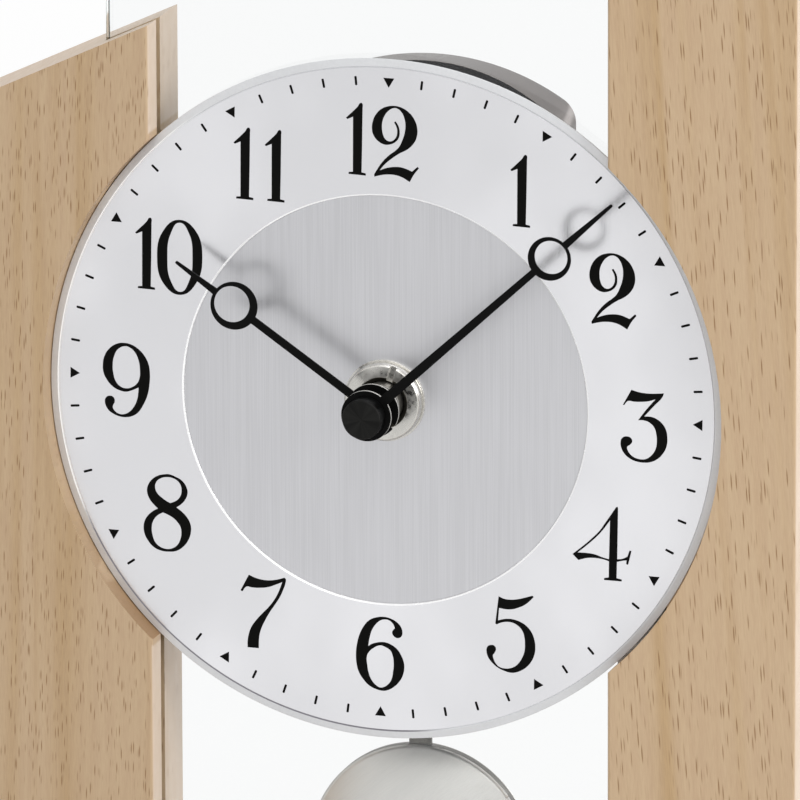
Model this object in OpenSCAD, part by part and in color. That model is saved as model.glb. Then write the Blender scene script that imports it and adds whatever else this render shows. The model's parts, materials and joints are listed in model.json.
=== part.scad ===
// Pendulum table clock: two wooden columns on a base hold a glass pane. A round dial lies on the
// front of the glass, and the movement, its cover and the pendulum are behind it.
// X runs to the right, Y to the back and Z up. The origin is under the middle of the base.

/* [Columns and base] */
// Clear width between the two columns
column_gap = 100.8; // [96:0.2:108]
// Width of each column
column_w = 41.4; // [34:0.2:44]
// Depth of each column
column_t = 23.5; // [22:0.5:26]
// Height of the left column's inner top edge above the hand shaft
left_top = 79.8; // [76.5:0.1:84]
// Height of the right column's inner top edge above the hand shaft
right_top = 118.2; // [112:0.2:130]
// Slope of both column tops, falling to the left
top_slope = 25; // [0:1:26]
// Radius of the round cut that the left column leaves free around the dial
cut_r = 74.5; // [74.5:0.1:78]
// Radius of the right column's cut
right_cut_r = 73.3; // [73.3:0.1:76]
// How far the middle of the right column's cut lies to the right of the hand shaft
right_cut_x = 2.1; // [2:0.1:3]
// Width of the base plate
base_w = 188; // [186:1:196]
// Depth of the base plate
base_d = 84; // [82:1:96]
// Thickness of the base plate
base_t = 18; // [15:1:22]
// Thickness of the felt pads under the base
pad_t = 1.5; // [1:0.5:3]

/* [Glass] */
// Thickness of the glass pane
glass_t = 4; // [3.8:0.1:4.2]
// How far the glass goes into the groove of each column
glass_in = 11.2; // [8:0.2:13]
// Height of the glass above the hand shaft
glass_top = 104.4; // [100:0.2:108]

/* [Dial] */
// Diameter of the dial
dial_d = 148.6; // [147.8:0.2:148.6]
// Thickness of the dial ring
dial_t = 0.8; // [0.7:0.1:1]
// Diameter of the brushed middle of the dial
middle_d = 89.2; // [80:0.2:100]
// How far the brushed middle lies behind the ring's face
middle_set_back = 0.4; // [0.3:0.1:0.4]
// Height of the hand shaft above the table
shaft_z = 161.6; // [160:0.2:170]
// How far the ring's face lies behind the front of the columns
dial_set_back = 5.2; // [5:0.1:6.2]
// Distance of the ring's face in front of the middle of the base
dial_front = 18; // [17:0.5:19]

/* [Hands] */
// Hour hand's angle, clockwise from the top
hour_angle = 304.4; // [0:0.1:360]
// Minute hand's angle, clockwise from the top
minute_angle = 47.6; // [0:0.1:360]
// Length of the hour hand
hour_len = 52.6; // [48:0.1:54]
// Length of the minute hand
minute_len = 73; // [68:0.1:73.4]
// Diameter of the disc at the middle of the hour hand
hour_disc_d = 11.6; // [11:0.1:12.4]
// Diameter of the disc at the middle of the minute hand
minute_disc_d = 11; // [10:0.1:12]

/* [Pendulum] */
// Height of the pendulum's pivot above the hand shaft
pivot_up = 52; // [51.5:0.1:52.5]
// Depth of the middle of the bob below the hand shaft
bob_down = 107.4; // [104:0.2:110]
// Diameter of the bob
bob_d = 49.4; // [40:0.2:50]
// Width of the pendulum rod
rod_w = 5; // [4:0.1:5.4]

/* [Movement case] */
// Width of the movement case
case_w = 62.8; // [62.4:0.1:64]
// Height of the top of the case above the hand shaft
case_top = 67.1; // [66.5:0.1:68]
// Depth of the bottom of the case below the hand shaft
case_bottom = 30; // [29.8:0.1:32]
// Radius of the arched top of the case
case_arch_r = 42; // [42:0.5:52]
// Radius of the arched top of the rear cover, which widens from the case's outline to its own
cover_arch_r = 53; // [52:0.5:62]
// Radius of the upper corners of the case and of the cover
corner_r = 6; // [4:0.5:6]
// Wall of the case and of its rear cover
wall = 1.6; // [1.4:0.1:1.7]

/* [Hidden] */

$fn = 64;
// Overlap that joins two shapes of one piece, and length by which a cut runs past a face
eps = 0.01;
past = 1;
// Radial gap of a running fit, gap between flat faces that touch, and gap between moving pieces
fit = 0.05;
touch = 0.02;
free = 0.4;

base_top = pad_t + base_t;
column_x = column_gap / 2;
column_out = column_x + column_w;
front_y = -dial_set_back;
column_ease = 0.8;
base_ease = 1.5;
pad_r = 6;
pad_inset = 12;

// Wood screws that hold the columns on the base, two to a column
screw_r = 2;
screw_head_r = 4.1;
screw_head_h = 2.35;
screw_tip = 3;
screw_in = 26;
screw_spacing = 10;
screw_x = column_x + 26;
screw_y = -dial_front + front_y + column_t / 2 + 1;
screw_at = [for (x = [-1, 1], y = [-1, 1]) [x * screw_x, screw_y + y * screw_spacing / 2]];

// Depths behind the ring's face, along Y
glass_front = dial_t;
glass_back = glass_front + glass_t;
gasket_t = 1;
case_front = glass_back + gasket_t;
case_inside = case_front + wall;
case_rear = 33.4;
cover_gap = 0.3;
cover_front = case_rear + cover_gap;
cover_rear = 44.6;
cover_step = cover_rear - 4;
plate_front = 21.4;
plate_rear = plate_front + 1.5;

// Radii of the shafts and of what goes round them
arbor_r = 1.75;
tube_r = 2.75;
bush_r = 4.5;
hole_r = 5;
thin_arbor_r = 0.6;
setting_r = 1.2;
stud_r = 0.8;

// Depths of the hands' and the cap's fronts, and thickness of the hands and of their discs
hour_front = -9.3;
minute_front = -14.1;
cap_front = -17.7;
hand_t = 0.4;
hub_t = 0.6;
hour_collet_rear = -5.2;
minute_collet_rear = -10.6;

// Meshing pairs: teeth of the wheel, teeth of its pinion, and the size of a tooth
hour_pair = [40, 10, 0.48];
minute_pair = [36, 12, 0.5];
centre_pair = [60, 8, 0.4];
third_pair = [64, 8, 0.35];
second_pair = [60, 8, 0.3];
fifth_pair = [32, 8, 0.3];

// Directions from each arbor to the next one, and the places of the arbors
motion_dir = 20;
setting_dir = -20;
third_dir = 110;
second_dir = 20;
fifth_dir = -10;
rotor_dir = 60;
motion_at = polar(apart(minute_pair), motion_dir);
setting_at = motion_at + polar(apart(minute_pair), setting_dir);
third_at = polar(apart(centre_pair), third_dir);
second_at = third_at + polar(apart(third_pair), second_dir);
fifth_at = second_at + polar(apart(second_pair), fifth_dir);
rotor_at = fifth_at + polar(apart(fifth_pair), rotor_dir);
thin_arbors = [third_at, second_at, fifth_at, rotor_at];

// Depths of the toothed wheels
hour_wheel_y = 8.5;
minute_pinion_y = 10.4;
centre_wheel_y = 13.2;
third_wheel_y = 15.5;
second_wheel_y = 17.6;
fifth_wheel_y = 19.2;

// Inner posts, the battery and the slot that the pendulum rod swings in
post_at = [[-26, -5], [27, -6], [-25, 50], [25, 48]];
battery_z = -20.6;
battery_y = 15.3;
battery_r = 7.2;
battery_half = 24.8;
slot_w = 34;

// Pendulum parts
pin_r = 0.75;
arm_front = 26.9;
arm_rear = 29.9;
magnet_r = 4;
magnet_front = 26.3;
magnet_seat = arm_front + 1.4;
rod_front = 28;
rod_t = 0.8;
hook_z = -12;
hook_r = 0.8;
rod_below = 12;
bob_rim = 27.4;
dome_h = 5.2;
bob_wall = 0.8;
skirt = 2.2;
bob_rear = bob_rim + skirt;

function polar(r, a) = [r * cos(a), r * sin(a)];

// Distance between the arbors of a meshing pair
function apart(pair) = (pair[0] + pair[1]) * pair[2] / 2;

// Turn of a wheel that has a gap between two teeth in this direction
function gap_to(direction, teeth) = direction + 180 / teeth;

// Points of an arc in steps, with its first and last point
function arc(at, r, a0, a1, steps = 12) = [for (i = [0 : steps]) at + polar(r, a0 + (a1 - a0) * i / steps)];

// Outline of the case: an arched top, rounded corners and a flat bottom. "grow" moves it outwards.
function case_outline(grow = 0, arch_r = case_arch_r) =
    let (h = case_w / 2 + grow, r = arch_r + grow, c = max(corner_r + grow, 1),
        arch_z = case_top - arch_r,
        corner = [h - c, arch_z + sqrt(pow(r - c, 2) - pow(h - c, 2))],
        turn = atan2(corner[1] - arch_z, corner[0]),
        low = -case_bottom - grow, b = max(3 + grow, 0.5),
        right = concat(arc([h - b, low + b], b, -90, 0, 6), arc(corner, c, 0, turn, 8),
            arc([0, arch_z], r, turn, 90, 16)))
    concat(right, [for (i = [len(right) - 2 : -1 : 0]) [-right[i][0], right[i][1]]]);

// Toothed outline. A tooth points along the first axis, and slim teeth leave backlash.
function gear_outline(teeth, size, slim = 0.8) =
    let (r = teeth * size / 2, root = r - 1.2 * size, tip = r + 0.85 * size, half = 90 * slim / teeth,
        tooth = [[root, -1.35], [r, -1], [tip, -0.45], [tip, 0.45], [r, 1], [root, 1.35]])
    [for (i = [0 : teeth - 1]) for (p = tooth) polar(p[0], 360 * i / teeth + half * p[1])];

// Moves a shape from the hand shaft on the ring's face to its place in the clock
module at_dial() {
    translate([0, -dial_front, shaft_z]) children();
}

// A flat shape drawn from the front, made solid from depth y0 to depth y1
module slab(y0, y1) {
    translate([0, y1, 0]) rotate([90, 0, 0]) linear_extrude(y1 - y0) children();
}

// A shape turned about the hand shaft: [radius, height in front of the ring's face]
module turned(points) {
    rotate([90, 0, 0]) rotate_extrude($fn = 96) polygon(points);
}

module ring(outer, inner) {
    difference() {
        circle(outer);
        circle(inner);
    }
}

module toothed(teeth, size, at, phase) {
    translate(at) rotate(phase) polygon(gear_outline(teeth, size));
}

// A block with eased upright edges, from low corner to high corner
module eased_block(low, high, r) {
    translate([0, 0, low[2]]) linear_extrude(high[2] - low[2]) polygon(concat(
        arc([high[0] - r, high[1] - r], r, 0, 90, 4), arc([low[0] + r, high[1] - r], r, 90, 180, 4),
        arc([low[0] + r, low[1] + r], r, 180, 270, 4), arc([high[0] - r, low[1] + r], r, 270, 360, 4)));
}

// Columns and base

module base_plate() {
    color("burlywood") difference() {
        eased_block([-base_w / 2, -base_d / 2, pad_t], [base_w / 2, base_d / 2, base_top], base_ease);
        for (p = screw_at) translate([p[0], p[1], 0]) {
            cylinder(r = screw_r, h = base_top + past);
            translate([0, 0, pad_t - eps])
                cylinder(r1 = screw_head_r + fit, r2 = screw_r, h = screw_head_h + fit);
        }
    }
}

module felt_pads() {
    color("dimgray") for (x = [-1, 1], y = [-1, 1])
        translate([x * (base_w / 2 - pad_inset), y * (base_d / 2 - pad_inset), 0])
            cylinder(r = pad_r, h = pad_t);
}

module column_screws() {
    shank_r = screw_r - fit;
    shank_end = base_t + screw_in - 1;
    drive_w = 0.8;
    drive_depth = 1.4;
    color("silver") for (p = screw_at) translate([p[0], p[1], pad_t]) difference() {
        union() {
            cylinder(r1 = screw_head_r, r2 = shank_r, h = screw_head_h);
            cylinder(r = shank_r, h = shank_end);
            translate([0, 0, shank_end - eps]) cylinder(r1 = shank_r, r2 = 0.3, h = screw_tip);
        }
        for (turn = [0, 90]) rotate(turn) translate([-screw_r, -drive_w / 2, -eps])
            cube([2 * screw_r, drive_w, drive_depth]);
    }
}

// A column on the left, side -1, or on the right, side 1, with its top falling to the left
module column(side, inner_top, groove_top) {
    outer_top = inner_top + side * tan(top_slope) * column_w;
    x0 = side > 0 ? column_x : -column_out;
    cut_x = side > 0 ? right_cut_x : 0;
    cut_round = side > 0 ? right_cut_r : cut_r;
    y0 = -dial_front + front_y;
    high = shaft_z + max(inner_top, outer_top) + past;
    groove_in = glass_in + 0.3;
    groove_x = side > 0 ? column_x - past : -column_x - groove_in;
    difference() {
        eased_block([x0, y0, base_top], [x0 + column_w, y0 + column_t, high], column_ease);
        translate([0, y0 - past, 0]) at_column_top(side, inner_top) cube([200, column_t + 2 * past, 60]);
        at_dial() slab(front_y - past, glass_front) translate([cut_x, 0]) circle(cut_round, $fn = 128);
        translate([groove_x, -dial_front + glass_front - touch, 0])
            cube([groove_in + past, glass_t + 2 * touch, groove_top]);
        for (p = screw_at) translate([p[0], p[1], base_top - past])
            cylinder(r = screw_r, h = screw_in + screw_tip + past);
    }
}

// Turns a block so that its underside lies on the sloping top of a column
module at_column_top(side, inner_top) {
    translate([side * column_x, 0, shaft_z + inner_top]) rotate([0, -top_slope, 0])
        translate([-100, 0, 0]) children();
}

module left_column() {
    color("burlywood") column(-1, left_top, shaft_z + glass_top);
}

module right_column() {
    color("burlywood") column(1, right_top, shaft_z + glass_top + 0.2);
}

module glass_pane() {
    half = column_x + glass_in;
    color("azure", 0.35) difference() {
        translate([-half, -dial_front + glass_front, base_top])
            cube([2 * half, glass_t, shaft_z + glass_top - base_top]);
        at_dial() slab(0, glass_back + past) circle(hole_r);
    }
}

// Dial

module dial_ring() {
    outer = dial_d / 2;
    inner = middle_d / 2;
    bevel_w = 1.5;
    bevel_h = 0.25;
    groove_w = 0.35;
    groove_h = 0.15;
    color("gainsboro") at_dial() turned([[inner, -dial_t], [outer, -dial_t], [outer, -bevel_h],
        [outer - bevel_w, 0], [outer - bevel_w - 0.3, -groove_h], [outer - bevel_w - groove_w, 0],
        [inner + 0.4, 0], [inner, -0.2]]);
}

module dial_middle() {
    color("silver") at_dial() slab(middle_set_back, dial_t) ring(middle_d / 2 - touch, hole_r);
}

// Movement case

module case_gasket() {
    color("black") at_dial() slab(glass_back, case_front) {
        difference() {
            polygon(case_outline(-0.6));
            polygon(case_outline(-4));
        }
        ring(2 * bush_r, hole_r);
    }
}

module front_case() {
    post_r = 2.5;
    post_hole_r = 1.1;
    stud_rear = 12.2;
    color([0.12, 0.12, 0.13]) at_dial() difference() {
        union() {
            slab(case_front, case_inside) polygon(case_outline());
            slab(case_front, case_rear) difference() {
                polygon(case_outline());
                polygon(case_outline(-wall));
            }
            slab(case_inside - eps, plate_front) for (p = post_at) translate(p) circle(post_r);
            slab(case_inside - eps, stud_rear) translate(motion_at) circle(stud_r);
        }
        slab(case_front - past, case_inside + past) circle(bush_r);
        slab(case_inside - past, case_inside + past) {
            for (p = thin_arbors) translate(p) circle(thin_arbor_r + fit);
            translate(setting_at) circle(setting_r + fit);
        }
        slab(plate_front - 8, plate_front + past) for (p = post_at) translate(p) circle(post_hole_r);
        translate([-slot_w / 2, arm_front - 1.5, -case_bottom - past])
            cube([slot_w, case_rear + past - arm_front + 1.5, wall + 2 * past]);
    }
}

module shaft_bush() {
    flange_r = 6;
    flange_t = 0.7;
    color("silver") at_dial() difference() {
        union() {
            slab(-4.6, case_inside) circle(bush_r);
            slab(case_inside, case_inside + flange_t) circle(flange_r);
        }
        slab(-5, case_inside + 2) circle(tube_r + fit);
    }
}

module flat_washer() {
    color("gainsboro") at_dial() slab(0, middle_set_back) ring(8.9, bush_r + touch);
}

// Slotted round nut. Its points run from the bore over the seat to the bevelled front.
module mounting_nut() {
    bore = bush_r + touch;
    slot = [1.4, 1.6];
    color("silver") at_dial() difference() {
        turned([[bore, 0], [8.3, 0], [8.5, 0.4], [8.4, 1.7], [8, 2.2], [5.6, 2.2], [bore, 1.1]]);
        rotate([0, 18, 0]) translate([-slot[0] / 2, -3, 0]) cube([slot[0], slot[1], 12]);
    }
}

module rear_plate() {
    color("dimgray") at_dial() difference() {
        slab(plate_front, plate_rear)
            polygon([[-28.5, -8.5], [28.5, -8.5], [28.5, 52], [8, 60], [-8, 60], [-28.5, 52]]);
        slab(plate_front - past, plate_rear + past) {
            for (p = post_at) translate(p) circle(1.2);
            for (p = thin_arbors) translate(p) circle(thin_arbor_r + fit);
            translate(setting_at) circle(setting_r + fit);
            circle(arbor_r + fit);
            translate([0, pivot_up]) circle(pin_r);
        }
    }
}

module plate_screws() {
    head_r = 2;
    head_t = 1.1;
    color("silver") at_dial() for (p = post_at) difference() {
        union() {
            slab(plate_rear, plate_rear + head_t) translate(p) circle(head_r);
            slab(plate_front - 6, plate_rear + eps) translate(p) circle(1.05);
        }
        translate([p[0] - 1.5, plate_rear + head_t / 2, p[1] - 0.25]) cube([3, 1, 0.5]);
    }
}

module circuit_board() {
    board_y = 10;
    color("seagreen") at_dial() {
        slab(board_y, board_y + 1) polygon([[-27, 27], [-5, 27], [-5, 45], [-27, 45]]);
        slab(case_inside, board_y + eps) for (p = [[-25, 29], [-7, 43]]) translate(p) circle(1.2);
    }
    color("black") at_dial() slab(board_y + 1 - eps, board_y + 2.2) translate([-13, 37]) circle(3.5);
}

module quartz_crystal() {
    color("silver") at_dial() translate([-25, 12.05, 32]) rotate([0, 90, 0]) cylinder(r = 1.05, h = 6);
}

// Flat iron core round the rotor, with a bar that carries the coil
module motor_stator() {
    color("slategray") at_dial() slab(13.4, 14.6) translate(rotor_at) difference() {
        union() {
            circle(5);
            translate([-9, -1]) square([4.5, 20]);
            translate([4.3, -1]) square([3.9, 20]);
            translate([-9, -1]) square([17.2, 2.6]);
            translate([-9, 16]) square([17.2, 3]);
        }
        circle(3.7);
    }
}

module motor_coil() {
    length = 7.8;
    cheek = 0.8;
    at = [rotor_at[0] - 4, 14, rotor_at[1] + 17.5];
    color("peru") at_dial() translate(at) rotate([0, 90, 0]) difference() {
        union() {
            cylinder(r = 3.4, h = length);
            for (z = [0, length - cheek]) translate([0, 0, z]) cylinder(r = 4.2, h = cheek);
        }
        translate([-1.5, -0.6, -past]) cube([3, 1.2, length + 2 * past]);
    }
}

module battery() {
    button_r = 2.7;
    button_h = 1.1;
    color("goldenrod") at_dial() translate([0, battery_y, battery_z]) rotate([0, 90, 0]) {
        translate([0, 0, 0.2 - battery_half]) cylinder(r = battery_r, h = 2 * battery_half - 0.2);
        translate([0, 0, battery_half - eps]) cylinder(r = button_r, h = button_h);
    }
}

contact_t = 0.5;

module plus_contact() {
    color("gold") at_dial() translate([battery_half + 1.1, battery_y - 4, battery_z - 5])
        cube([contact_t, 8, 10]);
}

module minus_contact() {
    color("gold") at_dial() translate([-29.4, battery_y, battery_z]) rotate([0, 90, 0]) {
        translate([-5, -4, 0]) cube([10, 8, contact_t]);
        translate([0, 0, contact_t - eps]) cylinder(r1 = 4, r2 = 2, h = 4.3);
    }
}

// Wheels that turn the hands

module hour_wheel() {
    color("ivory") at_dial() difference() {
        union() {
            slab(hour_front - 0.2, hour_wheel_y + 0.1) circle(tube_r);
            slab(hour_wheel_y, hour_wheel_y + 1.2)
                toothed(hour_pair[0], hour_pair[2], [0, 0], motion_dir);
            slab(hour_wheel_y, hour_wheel_y + 1.5) circle(4);
        }
        slab(hour_front - past, hour_wheel_y + 2 * past) circle(arbor_r + fit);
    }
}

module minute_arbor() {
    color("goldenrod") at_dial() {
        slab(minute_front - 0.9, plate_rear - 0.3) circle(arbor_r);
        slab(minute_pinion_y, minute_pinion_y + 1.6)
            toothed(minute_pair[1], minute_pair[2], [0, 0], motion_dir);
    }
}

module motion_wheel() {
    back_to_middle = motion_dir + 180;
    color("ivory") at_dial() difference() {
        union() {
            slab(hour_wheel_y - 0.6, hour_wheel_y + 1.5)
                toothed(hour_pair[1], hour_pair[2], motion_at, gap_to(back_to_middle, hour_pair[1]));
            slab(minute_pinion_y, minute_pinion_y + 1.2)
                toothed(minute_pair[0], minute_pair[2], motion_at, gap_to(back_to_middle, minute_pair[0]));
            slab(hour_wheel_y + 1.4, minute_pinion_y + 0.1) translate(motion_at) circle(3.2);
        }
        slab(case_front, 2 * minute_pinion_y) translate(motion_at) circle(stud_r + fit);
    }
}

module setting_pinion() {
    color("ivory") at_dial() {
        slab(case_inside - 0.8, 25) translate(setting_at) circle(setting_r);
        slab(minute_pinion_y - 0.2, minute_pinion_y + 1.6)
            toothed(minute_pair[1], minute_pair[2], setting_at, setting_dir + 180);
    }
}

module setting_knob() {
    knob_r = 4.3;
    ribs = 18;
    color("gray") at_dial() slab(25, 33) translate(setting_at) {
        circle(knob_r);
        for (i = [1 : ribs]) rotate(360 * i / ribs) translate([knob_r, 0]) circle(0.5, $fn = 16);
    }
}

// Wheels between the motor and the middle

module centre_wheel() {
    color("ivory") at_dial() difference() {
        union() {
            slab(centre_wheel_y, centre_wheel_y + 1)
                toothed(centre_pair[0], centre_pair[2], [0, 0], third_dir);
            slab(centre_wheel_y - 0.7, centre_wheel_y + 1.8) circle(3.2);
        }
        slab(case_inside, plate_rear) circle(arbor_r + fit);
    }
}

module thin_arbor(at) {
    slab(case_inside - 0.8, plate_rear - 0.3) translate(at) circle(thin_arbor_r);
}

// A wheel of one pair, the pinion of the pair before it, and their arbor
module wheel_set(at, pair, wheel_y, to_next, before, pinion_y, from_last) {
    thin_arbor(at);
    slab(wheel_y, wheel_y + 0.9) toothed(pair[0], pair[2], at, to_next);
    slab(pinion_y, pinion_y + 1.4) toothed(before[1], before[2], at, gap_to(from_last + 180, before[1]));
}

module third_wheel() {
    color("ivory") at_dial() wheel_set(third_at, third_pair, third_wheel_y, second_dir,
        centre_pair, centre_wheel_y - 0.2, third_dir);
}

module second_wheel() {
    color("ivory") at_dial() wheel_set(second_at, second_pair, second_wheel_y, fifth_dir,
        third_pair, third_wheel_y - 0.2, second_dir);
}

module fifth_wheel() {
    color("ivory") at_dial() wheel_set(fifth_at, fifth_pair, fifth_wheel_y, rotor_dir,
        second_pair, second_wheel_y - 0.3, fifth_dir);
}

module motor_rotor() {
    color("slategray") at_dial() slab(12, 16) translate(rotor_at) ring(3, thin_arbor_r);
}

module rotor_pinion() {
    color("ivory") at_dial() {
        thin_arbor(rotor_at);
        slab(fifth_wheel_y - 0.3, fifth_wheel_y + 1.1)
            toothed(fifth_pair[1], fifth_pair[2], rotor_at, gap_to(rotor_dir + 180, fifth_pair[1]));
    }
}

// Hands. A hand points up and is turned to its angle. The hole in its ring lies nearer to the tip.

module ring_hand(len, ring_at, ring_r, ring_hole, root_w, neck_w, tip_w, end_r) {
    neck = ring_at - ring_r + 0.3;
    polygon([[-root_w / 2, 0], [root_w / 2, 0], [neck_w / 2, neck], [-neck_w / 2, neck]]);
    difference() {
        translate([0, ring_at]) circle(ring_r);
        translate([0, ring_at + (ring_r - ring_hole) * 0.45]) circle(ring_hole);
    }
    ring_top = ring_at + ring_r - 0.25;
    polygon([[-tip_w / 2, ring_top], [tip_w / 2, ring_top], [end_r, len - end_r], [-end_r, len - end_r]]);
    translate([0, len - end_r]) circle(end_r, $fn = 24);
}

// The hour hand's disc and collet have a notch on their lower right side
module hour_hand() {
    notch_w = 1.1;
    color("black") at_dial() difference() {
        union() {
            slab(hour_front, hour_front + hand_t)
                rotate(-hour_angle) ring_hand(hour_len, 37, 5.2, 3.95, 1.9, 1.7, 1.55, 0.33);
            slab(hour_front, hour_front + hub_t) circle(hour_disc_d / 2);
            slab(hour_front + hub_t - eps, hour_collet_rear) circle(4.2);
        }
        slab(hour_front - past, 0) circle(tube_r);
        translate([0, -12, 0]) rotate([0, 35, 0]) translate([3.6, 0, -notch_w / 2])
            cube([4, 12, notch_w]);
    }
}

module minute_hand() {
    color("black") at_dial() difference() {
        union() {
            slab(minute_front, minute_front + hand_t)
                rotate(-minute_angle) ring_hand(minute_len, 54.5, 4.7, 3.6, 2.3, 1.5, 1.6, 0.36);
            slab(minute_front, minute_front + hub_t) circle(minute_disc_d / 2);
            slab(minute_front + hub_t - eps, minute_collet_rear) circle(3.6);
        }
        slab(minute_front - past, 0) circle(arbor_r);
    }
}

module hand_cap() {
    height = minute_front - cap_front;
    color([0.1, 0.1, 0.1]) at_dial() translate([0, minute_front, 0]) difference() {
        turned([[0, 0], [4.3, 0], [4.3, height - 0.3], [4, height], [0.4, height], [0, height - 0.2]]);
        slab(-1.1, past) circle(arbor_r);
    }
}

// Pendulum

module drive_coil() {
    cheek = 0.5;
    coil_rear = 25.5;
    color("peru") at_dial() difference() {
        union() {
            slab(plate_rear, plate_rear + cheek) circle(8);
            slab(plate_rear, coil_rear) circle(7.4);
            slab(coil_rear - cheek, coil_rear) circle(8);
        }
        slab(plate_rear - past, coil_rear + past) circle(2.4);
    }
}

module pendulum_bracket() {
    arm_w = 10;
    rear = 33.4;
    color("dimgray") at_dial() difference() {
        union() {
            translate([-arm_w / 2, plate_rear, pivot_up + 4.3]) cube([arm_w, rear - plate_rear, 3.2]);
            translate([-arm_w / 2, rear - wall, pivot_up - 3]) cube([arm_w, wall, 10.5]);
        }
        slab(plate_front, rear + past) translate([0, pivot_up]) circle(pin_r);
    }
}

module pivot_pin() {
    color("silver") at_dial() slab(plate_front, 33.8) translate([0, pivot_up]) circle(pin_r);
}

module hanger_arm() {
    boss_r = 3.4;
    color("whitesmoke") at_dial() difference() {
        slab(arm_front, arm_rear) {
            translate([0, pivot_up]) circle(boss_r);
            translate([-1.9, 3]) square([3.8, pivot_up - 3]);
            circle(magnet_r + 1.4);
            translate([-3.8, hook_z - 3]) square([7.6, 13]);
        }
        slab(arm_front - past, arm_rear + past) {
            translate([0, pivot_up]) circle(pin_r + fit);
            translate([0, hook_z]) circle(hook_r);
        }
        slab(arm_front - past, magnet_seat) circle(magnet_r);
        slab(rod_front - 0.1, rod_front + rod_t + 0.1) translate([-rod_w / 2 - free, hook_z - 5])
            square([rod_w + 2 * free, 10.5]);
    }
}

module drive_magnet() {
    color("silver") at_dial() slab(magnet_front, magnet_seat) circle(magnet_r);
}

module hook_pin() {
    color("silver") at_dial() slab(arm_front, arm_rear) translate([0, hook_z]) circle(hook_r);
}

module pendulum_rod() {
    low = -bob_down - rod_below;
    color([0.3, 0.3, 0.3]) at_dial() slab(rod_front, rod_front + rod_t) difference() {
        union() {
            translate([-rod_w / 2, low]) square([rod_w, hook_z - low]);
            translate([0, hook_z]) circle(rod_w / 2);
        }
        translate([0, hook_z]) circle(hook_r + fit);
    }
}

// Half outline of a thin dome from its rim to its middle: [radius, height]
function dome_outline(r, h, t, low) =
    let (ball = (r * r + h * h) / (2 * h), turn = asin(r / ball),
        inner = ball - t, in_turn = asin((r - t) / inner))
    concat([[r - t, low], [r, low]], arc([0, h - ball], ball, 90 - turn, 90, 14),
        arc([0, h - ball], inner, 90, 90 - in_turn, 14));

// The front of the bob is a dome with a short skirt, cut out at the top for the rod
module bob_front() {
    color("lightgray") at_dial() translate([0, bob_rim, -bob_down]) difference() {
        turned(dome_outline(bob_d / 2, dome_h, bob_wall, -skirt));
        translate([-rod_w / 2 - 0.1, rod_front - bob_rim - 0.1, 10]) cube([rod_w + 0.2, 3, 20]);
    }
}

module bob_back() {
    r = bob_d / 2;
    color("gray") at_dial() translate([0, bob_rear, -bob_down])
        turned([[0, 0], [r, 0], [r, -0.4], [r - 1.2, -0.8], [0, -0.8]]);
}

module bob_clip() {
    side = 12;
    color("silver") at_dial() slab(rod_front + rod_t, bob_rear)
        translate([-side / 2, -bob_down - side / 2]) square(side);
}

// The rear cover, with two tongues that reach into the case
module rear_cover() {
    tongue_w = 1.2;
    root_w = 1.8;
    tongue_l = 12;
    tongue_x = case_w / 2 - wall - free - tongue_w;
    color("lightgray") at_dial() {
        difference() {
            union() {
                hull() {
                    slab(cover_front, cover_front + eps) polygon(case_outline());
                    slab(cover_step - eps, cover_step) polygon(case_outline(0, cover_arch_r));
                }
                hull() {
                    slab(cover_step - eps, cover_step) polygon(case_outline(0, cover_arch_r));
                    slab(cover_rear - 1.2, cover_rear - 1.2 + eps)
                        polygon(case_outline(-1.2, cover_arch_r));
                    slab(cover_rear - eps, cover_rear) polygon(case_outline(-4, cover_arch_r));
                }
            }
            slab(cover_front - past, cover_step) polygon(case_outline(-wall));
            slab(cover_front - past, cover_rear - wall) polygon(case_outline(-wall - 2));
            translate([-slot_w / 2, cover_front - past, -case_bottom - past])
                cube([slot_w, 3, wall + 2 * past]);
        }
        for (side = [0, 1]) mirror([side, 0, 0]) {
            translate([tongue_x, case_rear - 5, tongue_l]) cube([tongue_w, 8, tongue_l]);
            translate([tongue_x, cover_front + 0.2, tongue_l]) cube([root_w, 2.5, tongue_l]);
        }
    }
}

base_plate();
felt_pads();
column_screws();
left_column();
right_column();
glass_pane();
dial_ring();
dial_middle();
case_gasket();
front_case();
shaft_bush();
flat_washer();
mounting_nut();
rear_plate();
plate_screws();
circuit_board();
quartz_crystal();
motor_stator();
motor_coil();
battery();
plus_contact();
minus_contact();
drive_coil();
pendulum_bracket();
pivot_pin();
hour_hand();
hour_wheel();
minute_hand();
hand_cap();
minute_arbor();
motion_wheel();
setting_knob();
setting_pinion();
centre_wheel();
third_wheel();
second_wheel();
fifth_wheel();
motor_rotor();
rotor_pinion();
hanger_arm();
drive_magnet();
hook_pin();
pendulum_rod();
bob_front();
bob_back();
bob_clip();
rear_cover();
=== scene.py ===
import json
import math

import bmesh
import bpy
from bpy.props import FloatProperty, FloatVectorProperty, IntProperty, PointerProperty
from mathutils import Matrix, Vector

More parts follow.
